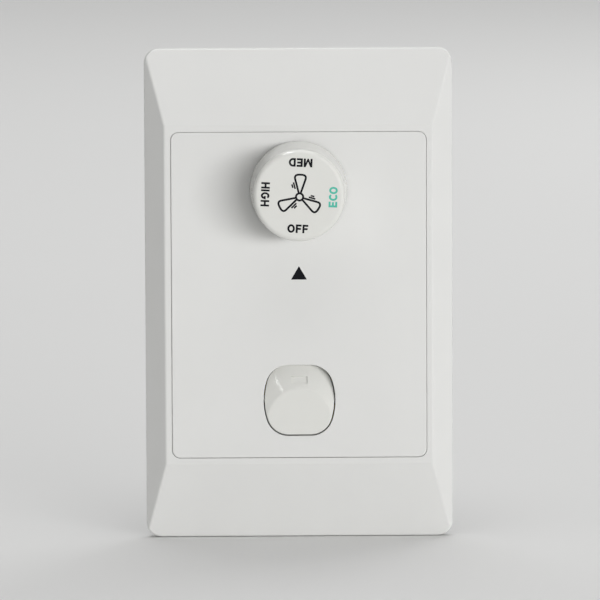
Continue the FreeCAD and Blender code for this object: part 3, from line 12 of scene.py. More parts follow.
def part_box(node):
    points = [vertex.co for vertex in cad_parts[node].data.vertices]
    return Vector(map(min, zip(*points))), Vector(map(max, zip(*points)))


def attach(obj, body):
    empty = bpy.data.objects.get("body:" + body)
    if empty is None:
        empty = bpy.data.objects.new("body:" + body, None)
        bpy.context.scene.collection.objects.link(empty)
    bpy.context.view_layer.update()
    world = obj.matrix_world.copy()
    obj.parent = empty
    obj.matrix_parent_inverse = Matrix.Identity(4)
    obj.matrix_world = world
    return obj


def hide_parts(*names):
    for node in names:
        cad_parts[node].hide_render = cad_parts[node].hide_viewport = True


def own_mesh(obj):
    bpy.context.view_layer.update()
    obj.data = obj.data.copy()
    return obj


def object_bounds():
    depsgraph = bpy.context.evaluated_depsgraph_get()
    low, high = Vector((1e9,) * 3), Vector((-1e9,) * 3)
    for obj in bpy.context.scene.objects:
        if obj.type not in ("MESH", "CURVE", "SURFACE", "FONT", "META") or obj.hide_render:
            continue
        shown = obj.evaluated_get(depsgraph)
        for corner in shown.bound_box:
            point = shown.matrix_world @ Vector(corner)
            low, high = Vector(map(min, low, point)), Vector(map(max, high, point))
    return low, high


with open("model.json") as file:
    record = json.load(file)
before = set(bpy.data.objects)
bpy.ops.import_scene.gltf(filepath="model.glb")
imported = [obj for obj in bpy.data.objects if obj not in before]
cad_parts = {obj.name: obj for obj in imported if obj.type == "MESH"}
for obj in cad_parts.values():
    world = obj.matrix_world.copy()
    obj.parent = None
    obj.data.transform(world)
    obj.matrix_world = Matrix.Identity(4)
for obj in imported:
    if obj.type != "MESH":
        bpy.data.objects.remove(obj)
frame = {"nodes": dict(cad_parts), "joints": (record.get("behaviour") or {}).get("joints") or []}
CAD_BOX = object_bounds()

# Fan speed control switch: a wall plate with a turning knob for the fan and a rocker for the light.
# The front faces -Y, +X is to the right and +Z is up. The scene is in metres; the sizes of the
# pieces below are in millimetres, and the distances of the studio in metres.

Point = tuple[float, float]

MM = 0.001
NODES: dict[str, bpy.types.Object] = frame["nodes"]
JOINTS: dict[str, dict] = {joint["name"]: joint for joint in frame["joints"]}
LOG = logging.getLogger("fan_switch")

# A noise texture keeps mostly between these two values, so a spread of roughness runs over them.
NOISE_LOW = 0.3
NOISE_HIGH = 0.7
# Thickness of a printed ink film, in millimetres.
INK_FILM = 0.02


class Body(Enum):
    """The moving bodies that new pieces ride on."""

    BASE = "base"
    SELECTOR = "selector"
    ROCKER = "rocker_unit"


class Slot(Enum):
    """The record's finishes that new pieces match; they are only listed here, and nothing reads them.
    """

    LEGEND = "legend_ink"
    ECO = "eco_ink"
    SPRING = "spring_steel"


def linear(hex_colour: str) -> tuple[float, float, float, float]:
    """Turn an sRGB hex colour into linear values.

    Args:
        hex_colour: Six hex digits after a hash sign.

    Returns:
        Red, green and blue in linear light, and an alpha of 1.
    """
    channels = [int(hex_colour[k:k + 2], 16) / 255 for k in (1, 3, 5)]
    light = [c / 12.92 if c <= 0.04045 else ((c + 0.055) / 1.055) ** 2.4 for c in channels]
    return light[0], light[1], light[2], 1.0


def add_node(tree: bpy.types.NodeTree, kind: str, settings: dict | None = None,
             sockets: dict | None = None) -> bpy.types.Node:
    """Add a shader node, set its properties and fill or link its inputs.

    Args:
        tree: The node tree to add to.
        kind: The node's type name.
        settings: Property names and values.
        sockets: Input names or numbers, each with a value or an output to link.

    Returns:
        The new node.
    """
    node = tree.nodes.new(kind)
    for name, value in (settings or {}).items():
        setattr(node, name, value)
    for name, value in (sockets or {}).items():
        if isinstance(value, bpy.types.NodeSocket):
            tree.links.new(value, node.inputs[name])
        else:
            node.inputs[name].default_value = value
    return node


def new_material(name: str) -> tuple[bpy.types.Material, bpy.types.NodeTree, bpy.types.NodeSocket]:
    """Start a node material.

    Args:
        name: What the material is.

    Returns:
        The material, its node tree, and the Object coordinates that its patterns read.
    """
    material = bpy.data.materials.new(name)
    material.use_nodes = True
    tree = material.node_tree
    tree.nodes.clear()
    return material, tree, add_node(tree, "ShaderNodeTexCoord").outputs["Object"]


@dataclass(frozen=True)
class MouldedPlastic:
    """A moulded plastic: even colour with a faint cloud, and the fine grain of its mould."""

    name: str
    colour: str
    cloud: str
    roughness: float
    grain_mm: float
    grain_depth_mm: float
    cloud_mm: float = 14.0
    wipes_per_cloud: float = 5.0
    rough_spread: float = 0.04
    ior: float = 1.53

    def material(self) -> bpy.types.Material:
        """Build the material.

        Returns:
            The node material.
        """
        material, tree, place = new_material(self.name)
        cloud = add_node(tree, "ShaderNodeTexNoise", None, {
            "Vector": place, "Scale": 1 / (self.cloud_mm * MM), "Detail": 3.0})
        colour = add_node(tree, "ShaderNodeMix", {"data_type": "RGBA"}, {
            0: cloud.outputs["Fac"], 6: linear(self.colour), 7: linear(self.cloud)})
        wipe = add_node(tree, "ShaderNodeTexNoise", None, {
            "Vector": place, "Detail": 4.0,
            "Scale": 1 / (self.cloud_mm * MM / self.wipes_per_cloud)})
        rough = add_node(tree, "ShaderNodeMapRange", None, {
            "Value": wipe.outputs["Fac"], "From Min": NOISE_LOW, "From Max": NOISE_HIGH,
            "To Min": self.roughness - self.rough_spread,
            "To Max": self.roughness + self.rough_spread})
        grain = add_node(tree, "ShaderNodeTexNoise", None, {
            "Vector": place, "Scale": 1 / (self.grain_mm * MM), "Detail": 2.0, "Roughness": 0.6})
        bump = add_node(tree, "ShaderNodeBump", None, {
            "Height": grain.outputs["Fac"], "Distance": self.grain_depth_mm * MM, "Strength": 0.5})
        shader = add_node(tree, "ShaderNodeBsdfPrincipled", None, {
            "Base Color": colour.outputs[2], "Roughness": rough.outputs["Result"],
            "IOR": self.ior, "Normal": bump.outputs["Normal"]})
        add_node(tree, "ShaderNodeOutputMaterial", None, {"Surface": shader.outputs["BSDF"]})
        return material


@dataclass(frozen=True)
class PlatedMetal:
    """A plated or bare metal: tinted reflections, drawn out by the lines that its making left."""

    name: str
    colour: str
    tarnish: str
    roughness: float
    line_mm: float
    line_stretch: tuple[float, float, float] = (1.0, 0.08, 1.0)
    line_depth_mm: float = 0.004
    stain_mm: float = 3.0
    rough_below: float = 0.07
    rough_above: float = 0.1

    def material(self) -> bpy.types.Material:
        """Build the material.

        Returns:
            The node material.
        """
        material, tree, place = new_material(self.name)
        stain = add_node(tree, "ShaderNodeTexNoise", None, {
            "Vector": place, "Scale": 1 / (self.stain_mm * MM), "Detail": 5.0})
        patch = add_node(tree, "ShaderNodeMapRange", None, {
            "Value": stain.outputs["Fac"], "From Min": 0.4, "From Max": 0.75})
        colour = add_node(tree, "ShaderNodeMix", {"data_type": "RGBA"}, {
            0: patch.outputs["Result"], 6: linear(self.colour), 7: linear(self.tarnish)})
        drawn = add_node(tree, "ShaderNodeMapping", None, {
            "Vector": place, "Scale": self.line_stretch})
        lines = add_node(tree, "ShaderNodeTexNoise", None, {
            "Vector": drawn.outputs["Vector"], "Scale": 1 / (self.line_mm * MM), "Detail": 3.0})
        rough = add_node(tree, "ShaderNodeMapRange", None, {
            "Value": lines.outputs["Fac"], "From Min": NOISE_LOW, "From Max": NOISE_HIGH,
            "To Min": self.roughness - self.rough_below,
            "To Max": self.roughness + self.rough_above})
        bump = add_node(tree, "ShaderNodeBump", None, {
            "Height": lines.outputs["Fac"], "Distance": self.line_depth_mm * MM, "Strength": 0.6})
        shader = add_node(tree, "ShaderNodeBsdfPrincipled", None, {
            "Base Color": colour.outputs[2], "Roughness": rough.outputs["Result"],
            "Metallic": 1.0, "Normal": bump.outputs["Normal"]})
        add_node(tree, "ShaderNodeOutputMaterial", None, {"Surface": shader.outputs["BSDF"]})
        return material


@dataclass(frozen=True)
class SolderMask:
    """Glass-fibre board under solder mask: glossy green, lighter where copper tracks lie below."""

    name: str
    mask: str
    over_copper: str
    track_mm: float
    pitch_mm: float
    copper_mm: float = 0.035
    weave_mm: float = 0.6

    def material(self) -> bpy.types.Material:
        """Build the material.

        Returns:
            The node material.
        """
        material, tree, place = new_material(self.name)
        flat = add_node(tree, "ShaderNodeMapping", None, {
            "Vector": place, "Rotation": (math.radians(90), 0.0, 0.0)})
        tracks = add_node(tree, "ShaderNodeTexBrick", {"offset": 0.4, "squash": 1.6}, {
            "Vector": flat.outputs["Vector"], "Scale": 1 / (self.pitch_mm * MM),
            "Color1": linear(self.mask), "Color2": linear(self.mask),
            "Mortar": linear(self.over_copper), "Mortar Size": self.track_mm / self.pitch_mm / 2,
            "Brick Width": 2.4, "Row Height": 1.0})
        weave = add_node(tree, "ShaderNodeTexNoise", None, {
            "Vector": place, "Scale": 1 / (self.weave_mm * MM), "Detail": 2.0})
        rough = add_node(tree, "ShaderNodeMapRange", None, {
            "Value": weave.outputs["Fac"], "To Min": 0.22, "To Max": 0.36})
        bump = add_node(tree, "ShaderNodeBump", {"invert": True}, {
            "Height": tracks.outputs["Fac"], "Distance": self.copper_mm * MM, "Strength": 0.8})
        shader = add_node(tree, "ShaderNodeBsdfPrincipled", None, {
            "Base Color": tracks.outputs["Color"], "Roughness": rough.outputs["Result"],
            "IOR": 1.5, "Normal": bump.outputs["Normal"]})
        add_node(tree, "ShaderNodeOutputMaterial", None, {"Surface": shader.outputs["BSDF"]})
        return material


@dataclass(frozen=True)
class PadPrint:
    """Pad-printed ink: a thin matt film whose cover varies a little where the pad lifted off.

    The IOR is below an ink's usual 1.5, because the matt film's fine pits take away most sheen.
    """

    name: str
    colour: str
    thin: str
    cover_mm: float = 0.5
    ior: float = 1.32

    def material(self) -> bpy.types.Material:
        """Build the material.

        Returns:
            The node material.
        """
        material, tree, place = new_material(self.name)
        cover = add_node(tree, "ShaderNodeTexNoise", None, {
            "Vector": place, "Scale": 1 / (self.cover_mm * MM), "Detail": 4.0})
        share = add_node(tree, "ShaderNodeMapRange", None, {
            "Value": cover.outputs["Fac"], "From Min": 0.5, "From Max": 0.85})
        colour = add_node(tree, "ShaderNodeMix", {"data_type": "RGBA"}, {
            0: share.outputs["Result"], 6: linear(self.colour), 7: linear(self.thin)})
        rough = add_node(tree, "ShaderNodeMapRange", None, {
            "Value": cover.outputs["Fac"], "To Min": 0.45, "To Max": 0.65})
        shader = add_node(tree, "ShaderNodeBsdfPrincipled", None, {
            "Base Color": colour.outputs[2], "Roughness": rough.outputs["Result"], "IOR": self.ior})
        add_node(tree, "ShaderNodeOutputMaterial", None, {"Surface": shader.outputs["BSDF"]})
        return material


Finish = MouldedPlastic | PlatedMetal | SolderMask | PadPrint

# The real mould grain and tool lines are finer than 0.1 mm, too fine to show in the render, so they
# are drawn a few times as coarse below.

# Satin white ABS of the plate: the spark-eroded mould leaves a fine grain that spreads highlights.
PLATE_ABS = MouldedPlastic("satin moulded ABS", "#DFDFDD", "#DBDBD9", 0.40, 0.35, 0.006)
# Polished white polycarbonate of knob and rocker: a smooth mould gives a clear soft highlight, and
# the pattern is only the slight waviness of the moulded face.
GLOSS_PC = MouldedPlastic("polished moulded polycarbonate", "#DEDEDA", "#DADAD5", 0.1, 1.2, 0.002,
                          ior=1.58)
# Grey flame-retardant nylon of the rear case: dull, with a coarse grain.
CASE_NYLON = MouldedPlastic("grained moulded nylon", "#9DA0A1", "#95989A", 0.55, 0.5, 0.02)
# White nylon frame of the light switch: dull and slightly yellow.
FRAME_NYLON = MouldedPlastic("white moulded nylon", "#D6D5CE", "#CFCEC6", 0.48, 0.5, 0.015)
# Grey urea of the switch body: hard, even and rather matt.
BODY_UREA = MouldedPlastic("pressed urea", "#83868A", "#7B7E82", 0.5, 0.45, 0.015, ior=1.55)
# Black phenolic of the selector's cup: deep black with a dusty grain.
CUP_PHENOLIC = MouldedPlastic("black pressed phenolic", "#17171A", "#222226", 0.45, 0.4, 0.015,
                              ior=1.6)
# Natural acetal of rotor and plunger: milky and waxy.
ACETAL = MouldedPlastic("natural moulded acetal", "#E3E1D8", "#D9D6CB", 0.3, 0.8, 0.006, ior=1.48)
# Grey epoxy box of the capacitors: smooth and glossy.
CAPACITOR_BOX = MouldedPlastic("potted capacitor box", "#5F656B", "#585E64", 0.28, 0.9, 0.006,
                               ior=1.55)
# Green nylon of the terminal block: satin, with a light grain.
TERMINAL_NYLON = MouldedPlastic("green moulded nylon", "#3B7A52", "#34704A", 0.42, 0.5, 0.012)
# Tan lacquer over a ceramic rod: glossy and slightly uneven.
RESISTOR_LACQUER = MouldedPlastic("tan resistor lacquer", "#C7AE80", "#B39566", 0.25, 0.7, 0.02,
                                  cloud_mm=2.0)
# Zinc-plated steel of screws and spindle: bluish grey with fine turning lines.
ZINC_STEEL = PlatedMetal("zinc plated steel", "#C3C6CA", "#A9ADB0", 0.3, 0.25)
# Drawn spring steel: darker, with fine drawing lines.
SPRING_STEEL = PlatedMetal("drawn spring steel", "#A3A3A3", "#86837E", 0.28, 0.2)
# Nickel-plated brass of bush and nut: warm silver, smooth.
NICKEL_BRASS = PlatedMetal("nickel plated brass", "#CFC8B8", "#B3A88F", 0.24, 0.3)
# Stamped brass of contacts and clamps: yellow, duller where it has tarnished.
CONTACT_BRASS = PlatedMetal("stamped brass", "#D2AE62", "#A98342", 0.32, 0.3)
# Green solder mask over copper: a glossy coat that shows the tracks as lighter, raised bands.
BOARD = SolderMask("solder mask on glass fibre", "#14522C", "#2B7A45", 0.9, 3.2)
# Near-black and green printing inks of the legends: matt and even, a little lighter where thin.
LEGEND_INK = PadPrint("dark pad-printing ink", "#08080F", "#12131B")
ECO_INK = PadPrint("green pad-printing ink", "#50B8A4", "#62C0AE")

MATERIALS: dict[str, bpy.types.Material] = {}


def finish_of(finish: Finish) -> bpy.types.Material:
    """Return a finish's material, made once.

    Args:
        finish: The finish.

    Returns:
        The material that all pieces of this finish share.
    """
    if finish.name not in MATERIALS:
        MATERIALS[finish.name] = finish.material()
    return MATERIALS[finish.name]


def dress_nodes(finish: Finish, names: tuple[str, ...]) -> None:
    """Give CAD nodes a finish.

    Args:
        finish: The finish they get.
        names: The nodes' names.
    """
    for name in names:
        for slot in NODES[name].material_slots:
            slot.material = finish_of(finish)
        LOG.info("%s: %s", name, finish.name)


def link_object(name: str, data: bpy.types.ID) -> bpy.types.Object:
    """Make an object at the origin and put it in the scene.

    Args:
        name: The object's name.
        data: Its mesh, light or camera.

    Returns:
        The new object.
    """
    item = bpy.data.objects.new(name, data)
    bpy.context.scene.collection.objects.link(item)
    return item


def mesh_object(mesh: bmesh.types.BMesh, name: str,
                material: bpy.types.Material) -> bpy.types.Object:
    """Make an object out of a bmesh that is already in place.

    Args:
        mesh: The shape, in metres, in the shared frame; it is freed here.
        name: The object's name.
        material: Its material.

    Returns:
        The new object.
    """
    data = bpy.data.meshes.new(name)
    mesh.to_mesh(data)
    mesh.free()
    data.materials.append(material)
    return link_object(name, data)


def add_piece(mesh: bmesh.types.BMesh, name: str, finish: Finish,
              body: Body) -> bpy.types.Object:
    """Make a piece of the switch out of a bmesh that is already in place.

    Args:
        mesh: The shape, in metres, in the shared frame; it is freed here.
        name: The piece's name.
        finish: Its ink or metal.
        body: The body it rides on.

    Returns:
        The new piece.
    """
    bmesh.ops.recalc_face_normals(mesh, faces=mesh.faces)
    piece = mesh_object(mesh, name, finish_of(finish))
    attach(piece, body.value)
    LOG.info("%s: %s", name, finish.name)
    return piece


def thicken(mesh: bmesh.types.BMesh) -> None:
    """Give a flat drawing the thickness of an ink film, half of it below the surface.

    Args:
        mesh: The drawing, in mm, flat at height 0.
    """
    raised = bmesh.ops.extrude_face_region(mesh, geom=mesh.faces[:], use_keep_orig=True)["geom"]
    upper = [item for item in raised if isinstance(item, bmesh.types.BMVert)]
    bmesh.ops.translate(mesh, vec=(0.0, 0.0, INK_FILM), verts=upper)
    bmesh.ops.translate(mesh, vec=(0.0, 0.0, -INK_FILM / 2), verts=mesh.verts)


def front_place(face_y: float, z: float, turn: float = 0.0) -> Matrix:
    """Return the transform from a flat drawing in millimetres to a front face in metres.

    Args:
        face_y: The face's place along Y, in metres.
        z: Height of the drawing's origin, in metres.
        turn: Counter-clockwise turn about the drawing's origin, in degrees.

    Returns:
        The matrix.
    """
    upright = Matrix.Rotation(math.radians(90), 4, "X")
    turned = Matrix.Rotation(math.radians(turn), 4, "Z")
    return Matrix.Translation((0.0, face_y, z)) @ Matrix.Scale(MM, 4) @ upright @ turned


@dataclass
class Surround:
    """The clipped surround with its sloped sides."""

    def dress(self) -> None:
        """Give the surround its satin finish."""
        dress_nodes(PLATE_ABS, ("cover_plate",))


@dataclass
class Panel:
    """The mounting plate with the flat panel and its printed pointer."""

    pointer_width: float = 3.75
    pointer_base: float = 3.7
    pointer_tip: float = 6.9
    pointer_corner: float = 0.12

    def dress(self) -> None:
        """Give the panel its satin finish."""
        dress_nodes(PLATE_ABS, ("grid_plate",))

    def build_pointer(self) -> None:
        """Print the triangle that points at the knob."""
        low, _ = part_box("grid_plate")
        mesh = bmesh.new()
        bmesh.ops.create_circle(mesh, cap_ends=True, segments=3, radius=1.0)
        corners = ((0.0, self.pointer_tip), (-self.pointer_width / 2, self.pointer_base),
                   (self.pointer_width / 2, self.pointer_base))
        for vertex, (x, y) in zip(mesh.verts, corners):
            vertex.co = (x, y, 0.0)
        bmesh.ops.bevel(mesh, geom=mesh.verts[:], offset=self.pointer_corner, segments=2,
                        profile=0.5, affect="VERTICES", material=-1)
        thicken(mesh)
        bmesh.ops.transform(mesh, matrix=front_place(low.y, 0.0), verts=mesh.verts)
        add_piece(mesh, "pointer_mark", LEGEND_INK, Body.BASE)


@dataclass(frozen=True)
class PenStroke:
    """One stroke of a drawing: a line of even width, open or closed, or a filled outline."""

    points: tuple[Point, ...]
    closed: bool = False
    filled: bool = False

    def draw(self, mesh: bmesh.types.BMesh, width: float) -> list[bmesh.types.BMVert]:
        """Draw the stroke flat, with square ends and mitred corners.

        Args:
            mesh: The bmesh to draw in.
            width: The stroke's width.

        Returns:
            The new vertices.
        """
        if self.filled:
            outline = [mesh.verts.new((x, y, 0.0)) for x, y in self.points]
            mesh.faces.new(outline)
            return outline
        places = [Vector(point) for point in self.points]
        last = len(places) - 1
        pairs = []
        for index, place in enumerate(places):
            before = places[index - 1] if index or self.closed else None
            after = places[(index + 1) % len(places)] if index < last or self.closed else None
            sides = [(second - first).orthogonal().normalized()
                     for first, second in ((before, place), (place, after)) if first and second]
            mitre = (sides[0] + sides[-1]) / (1 + sides[0].dot(sides[-1])) * width / 2
            pairs.append([mesh.verts.new((*spot, 0.0)) for spot in (place + mitre, place - mitre)])
        for first, second in zip(pairs, pairs[1:] + (pairs[:1] if self.closed else [])):
            mesh.faces.new((first[0], first[1], second[1], second[0]))
        return [vertex for pair in pairs for vertex in pair]


# Widths of the letters, where their height is 1. An I is as wide as the pen.
LETTER_WIDTHS: dict[str, float] = {
    "O": 0.86, "F": 0.66, "E": 0.68, "C": 0.7, "M": 0.98, "D": 0.78, "H": 0.78, "G": 0.86}


@dataclass(frozen=True)
class Capitals:
    """Narrow upright capitals, drawn with one pen; their height is 1, and the angle is in degrees."""

    pen: float = 0.23
    gap: float = 0.11
    middle: float = 0.5
    arm_cut: float = 0.06
    o_points: int = 36
    mouth_angle: float = 42.0
    c_overhang: float = 0.18
    g_bar_height: float = 0.46
    g_bar_start: float = 0.55
    d_round_start: float = 0.4
    m_shoulder: float = 0.49
    m_foot: float = 0.07
    m_notch: float = 0.36

    def upright(self, x: float) -> PenStroke:
        """Return an upright stem whose middle is at a place."""
        return PenStroke(((x, 0.0), (x, 1.0)))

    def oval(self, width: float, start: float, end: float, steps: int = 28,
             centre: float | None = None) -> tuple[Point, ...]:
        """Return points on a letter's round centre line.

        Args:
            width: The letter's width.
            start: First angle in degrees.
            end: Last angle in degrees.
            steps: How many parts the line has.
            centre: Where the round part is centred; half the width if not given.

        Returns:
            The points, one more than the parts.
        """
        x = width / 2 if centre is None else centre
        reach, rise = width - self.pen / 2 - x, self.middle - self.pen / 2
        angles = [math.radians(start + (end - start) * step / steps) for step in range(steps + 1)]
        return tuple((x + reach * math.cos(angle), self.middle + rise * math.sin(angle))
                     for angle in angles)

    def letter(self, sign: str) -> tuple[float, list[PenStroke]]:
        """Return a letter's width and strokes.

        Args:
            sign: One of the letters of the legends.

        Returns:
            The width and the strokes.
        """
        half = self.pen / 2
        width = LETTER_WIDTHS.get(sign, self.pen)
        mouth = (self.mouth_angle, 360 - self.mouth_angle)
        ring = self.oval(width, 0, 360 - 360 / self.o_points, self.o_points - 1)
        stems = [self.upright(half), self.upright(width - half)]
        arm = PenStroke(((self.pen, self.middle), (width - self.arm_cut, self.middle)))
        crossbar = PenStroke(((self.pen, self.middle), (width - self.pen, self.middle)))
        top_corner = ((width, 1 - half), (half, 1 - half))
        low_corner = ((half, half), (width, half))
        g_bar = ((width - half, self.g_bar_height), (width * self.g_bar_start, self.g_bar_height))
        d_back = ((half, half), (half, 1 - half))
        d_bow = self.oval(width, 90, -90, centre=width * self.d_round_start)
        vee = ((self.pen, 1.0), (self.pen, self.m_shoulder), (width / 2 - self.m_foot, 0.0),
               (width / 2 + self.m_foot, 0.0), (width - self.pen, self.m_shoulder),
               (width - self.pen, 1.0), (width / 2, self.m_notch))
        strokes = {
            "O": [PenStroke(ring, closed=True)],
            "C": [PenStroke(self.oval(width + self.c_overhang, *mouth))],
            "G": [PenStroke(self.oval(width, *mouth) + g_bar)],
            "D": [PenStroke(d_back + d_bow, closed=True)],
            "E": [PenStroke(top_corner + low_corner), arm],
            "F": [PenStroke(top_corner + ((half, 0.0),)), arm],
            "H": stems + [crossbar],
            "I": [self.upright(half)],
            "M": stems + [PenStroke(vee, filled=True)],
        }
        return width, strokes[sign]

    def write(self, mesh: bmesh.types.BMesh, word: str) -> float:
        """Write a word from the origin to the right.

        Args:
            mesh: The bmesh to write in.
            word: The word.

        Returns:
            The word's length.
        """
        place = 0.0
        for sign in word:
            width, strokes = self.letter(sign)
            made = [vertex for stroke in strokes for vertex in stroke.draw(mesh, self.pen)]
            bmesh.ops.translate(mesh, vec=(place, 0.0, 0.0), verts=made)
            place += width + self.gap
        return place - self.gap


@dataclass(frozen=True)
class Legend:
    """One printed word on the knob's face; its turn is in degrees, its width and radius in mm."""

    word: str
    turn: float
    width: float
    radius: float
    finish: PadPrint
    slot: Slot


@dataclass
class FanKnob:
    """The turning knob with its four speed legends and the fan symbol."""

    print_turn: float = -2.7
    letter_height: float = 2.0
    hub_radius: float = 1.07
    hub_segments: int = 48
    symbol_middle: Point = (0.1, -0.28)
    pen: float = 0.47
    blade_outline: tuple[Point, ...] = (
        (-0.26, 1.02), (-1.12, 3.85), (-1.3, 4.45), (-1.2, 4.9), (-0.78, 5.17), (0.0, 5.22),
        (0.78, 5.17), (1.2, 4.9), (1.3, 4.45), (1.12, 3.85), (0.26, 1.02))
    corner_cuts: int = 4
    cut_share: float = 0.25
    dash_pen: float = 0.37
    dash_lengths: tuple[float, ...] = (1.6, 0.88)
    dash_reaches: tuple[float, ...] = (1.82, 1.3, 1.82)
    dash_offset: float = 0.57
    dash_pitch: float = 0.47
    capitals: Capitals = Capitals()
    legends: tuple[Legend, ...] = (
        Legend("OFF", 0.0, 4.85, 7.75, LEGEND_INK, Slot.LEGEND),
        Legend("ECO", 90.0, 4.8, 7.93, ECO_INK, Slot.ECO),
        Legend("MED", 180.0, 5.5, 7.75, LEGEND_INK, Slot.LEGEND),
        Legend("HIGH", 270.0, 5.65, 7.93, LEGEND_INK, Slot.LEGEND),
    )

    def dress(self) -> None:
        """Give the knob its polished finish."""
        dress_nodes(GLOSS_PC, ("knob",))

    def place_print(self, mesh: bmesh.types.BMesh, turn: float) -> None:
        """Thicken a flat drawing to an ink film and set it on the knob's face.

        Args:
            mesh: The drawing, in mm about the knob's axis.
            turn: Its counter-clockwise turn in degrees.
        """
        low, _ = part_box("knob")
        axis_z = JOINTS["knob_turn"]["pos_m"][2]
        thicken(mesh)
        place = front_place(low.y, axis_z, turn + self.print_turn)
        bmesh.ops.transform(mesh, matrix=place, verts=mesh.verts)

    def build_legends(self) -> None:
        """Print the four words, each with its letters' tops towards the axis."""
        for legend in self.legends:
            mesh = bmesh.new()
            length = self.capitals.write(mesh, legend.word)
            size = (legend.width / length, self.letter_height, 1.0)
            centred = (-length / 2, -self.capitals.middle, 0.0)
            bmesh.ops.translate(mesh, vec=centred, verts=mesh.verts)
            bmesh.ops.scale(mesh, vec=size, verts=mesh.verts)
            bmesh.ops.translate(mesh, vec=(0.0, -legend.radius, 0.0), verts=mesh.verts)
            self.place_print(mesh, legend.turn)
            name = f"legend_{legend.word.lower()}"
            add_piece(mesh, name, legend.finish, Body.SELECTOR)

    def blade_line(self) -> tuple[Point, ...]:
        """Return a blade's outline, rounded by cutting its corners a few times over.

        Returns:
            The points; the two ends stay where they are.
        """
        line = [Vector(point) for point in self.blade_outline]
        for _ in range(self.corner_cuts):
            cut = [near.lerp(far, share) for near, far in zip(line, line[1:])
                   for share in (self.cut_share, 1 - self.cut_share)]
            line = [line[0]] + cut[1:-1] + [line[-1]]
        return tuple((point.x, point.y) for point in line)

    def build_symbol(self) -> None:
        """Print the fan symbol: a hub ring, three outlined blades and two short strokes by each."""
        mesh = bmesh.new()
        for radius in (self.hub_radius, self.hub_radius - self.pen):
            bmesh.ops.create_circle(mesh, cap_ends=False, segments=self.hub_segments, radius=radius)
        bmesh.ops.bridge_loops(mesh, edges=mesh.edges[:])
        root, side = Vector(self.blade_outline[0]), Vector(self.blade_outline[1])
        along = (side - root).normalized()
        away = along.orthogonal()
        for blade, reach in enumerate(self.dash_reaches):
            made = PenStroke(self.blade_line()).draw(mesh, self.pen)
            for row, length in enumerate(self.dash_lengths):
                middle = root + along * reach + away * (self.dash_offset + row * self.dash_pitch)
                ends = [middle + along * length * half for half in (-0.5, 0.5)]
                made += PenStroke(tuple((end.x, end.y) for end in ends)).draw(mesh, self.dash_pen)
            turn = Matrix.Rotation(2 * math.pi * blade / len(self.dash_reaches), 4, "Z")
            bmesh.ops.transform(mesh, matrix=turn, verts=made)
        bmesh.ops.translate(mesh, vec=(*self.symbol_middle, 0.0), verts=mesh.verts)
        self.place_print(mesh, 0.0)
        add_piece(mesh, "fan_symbol", LEGEND_INK, Body.SELECTOR)


@dataclass
class SpeedSelector:
    """The rotary selector behind the knob."""

    def dress(self) -> None:
        """Give spindle, bush, cup, rotor and contacts their finishes."""
        dress_nodes(ZINC_STEEL, ("selector_spindle", "bush_washer"))
        dress_nodes(NICKEL_BRASS, ("selector_bush", "bush_nut"))
        dress_nodes(CUP_PHENOLIC, ("selector_case",))
        dress_nodes(ACETAL, ("selector_rotor",))
        dress_nodes(CONTACT_BRASS, ("selector_wiper", "selector_contacts"))
        dress_nodes(SPRING_STEEL, ("detent_spring",))


@dataclass
class SpeedController:
    """The capacitor board with its terminals in the rear case."""

    def dress(self) -> None:
        """Give the board, its components and the case their finishes."""
        dress_nodes(BOARD, ("circuit_board",))
        dress_nodes(CAPACITOR_BOX, ("capacitor_large", "capacitor_small"))
        dress_nodes(RESISTOR_LACQUER, ("bleed_resistors",))
        dress_nodes(TERMINAL_NYLON, ("terminal_block",))
        dress_nodes(CONTACT_BRASS, ("terminal_clamps",))
        dress_nodes(ZINC_STEEL, ("terminal_screws", "case_screws"))
        dress_nodes(CASE_NYLON, ("rear_case",))


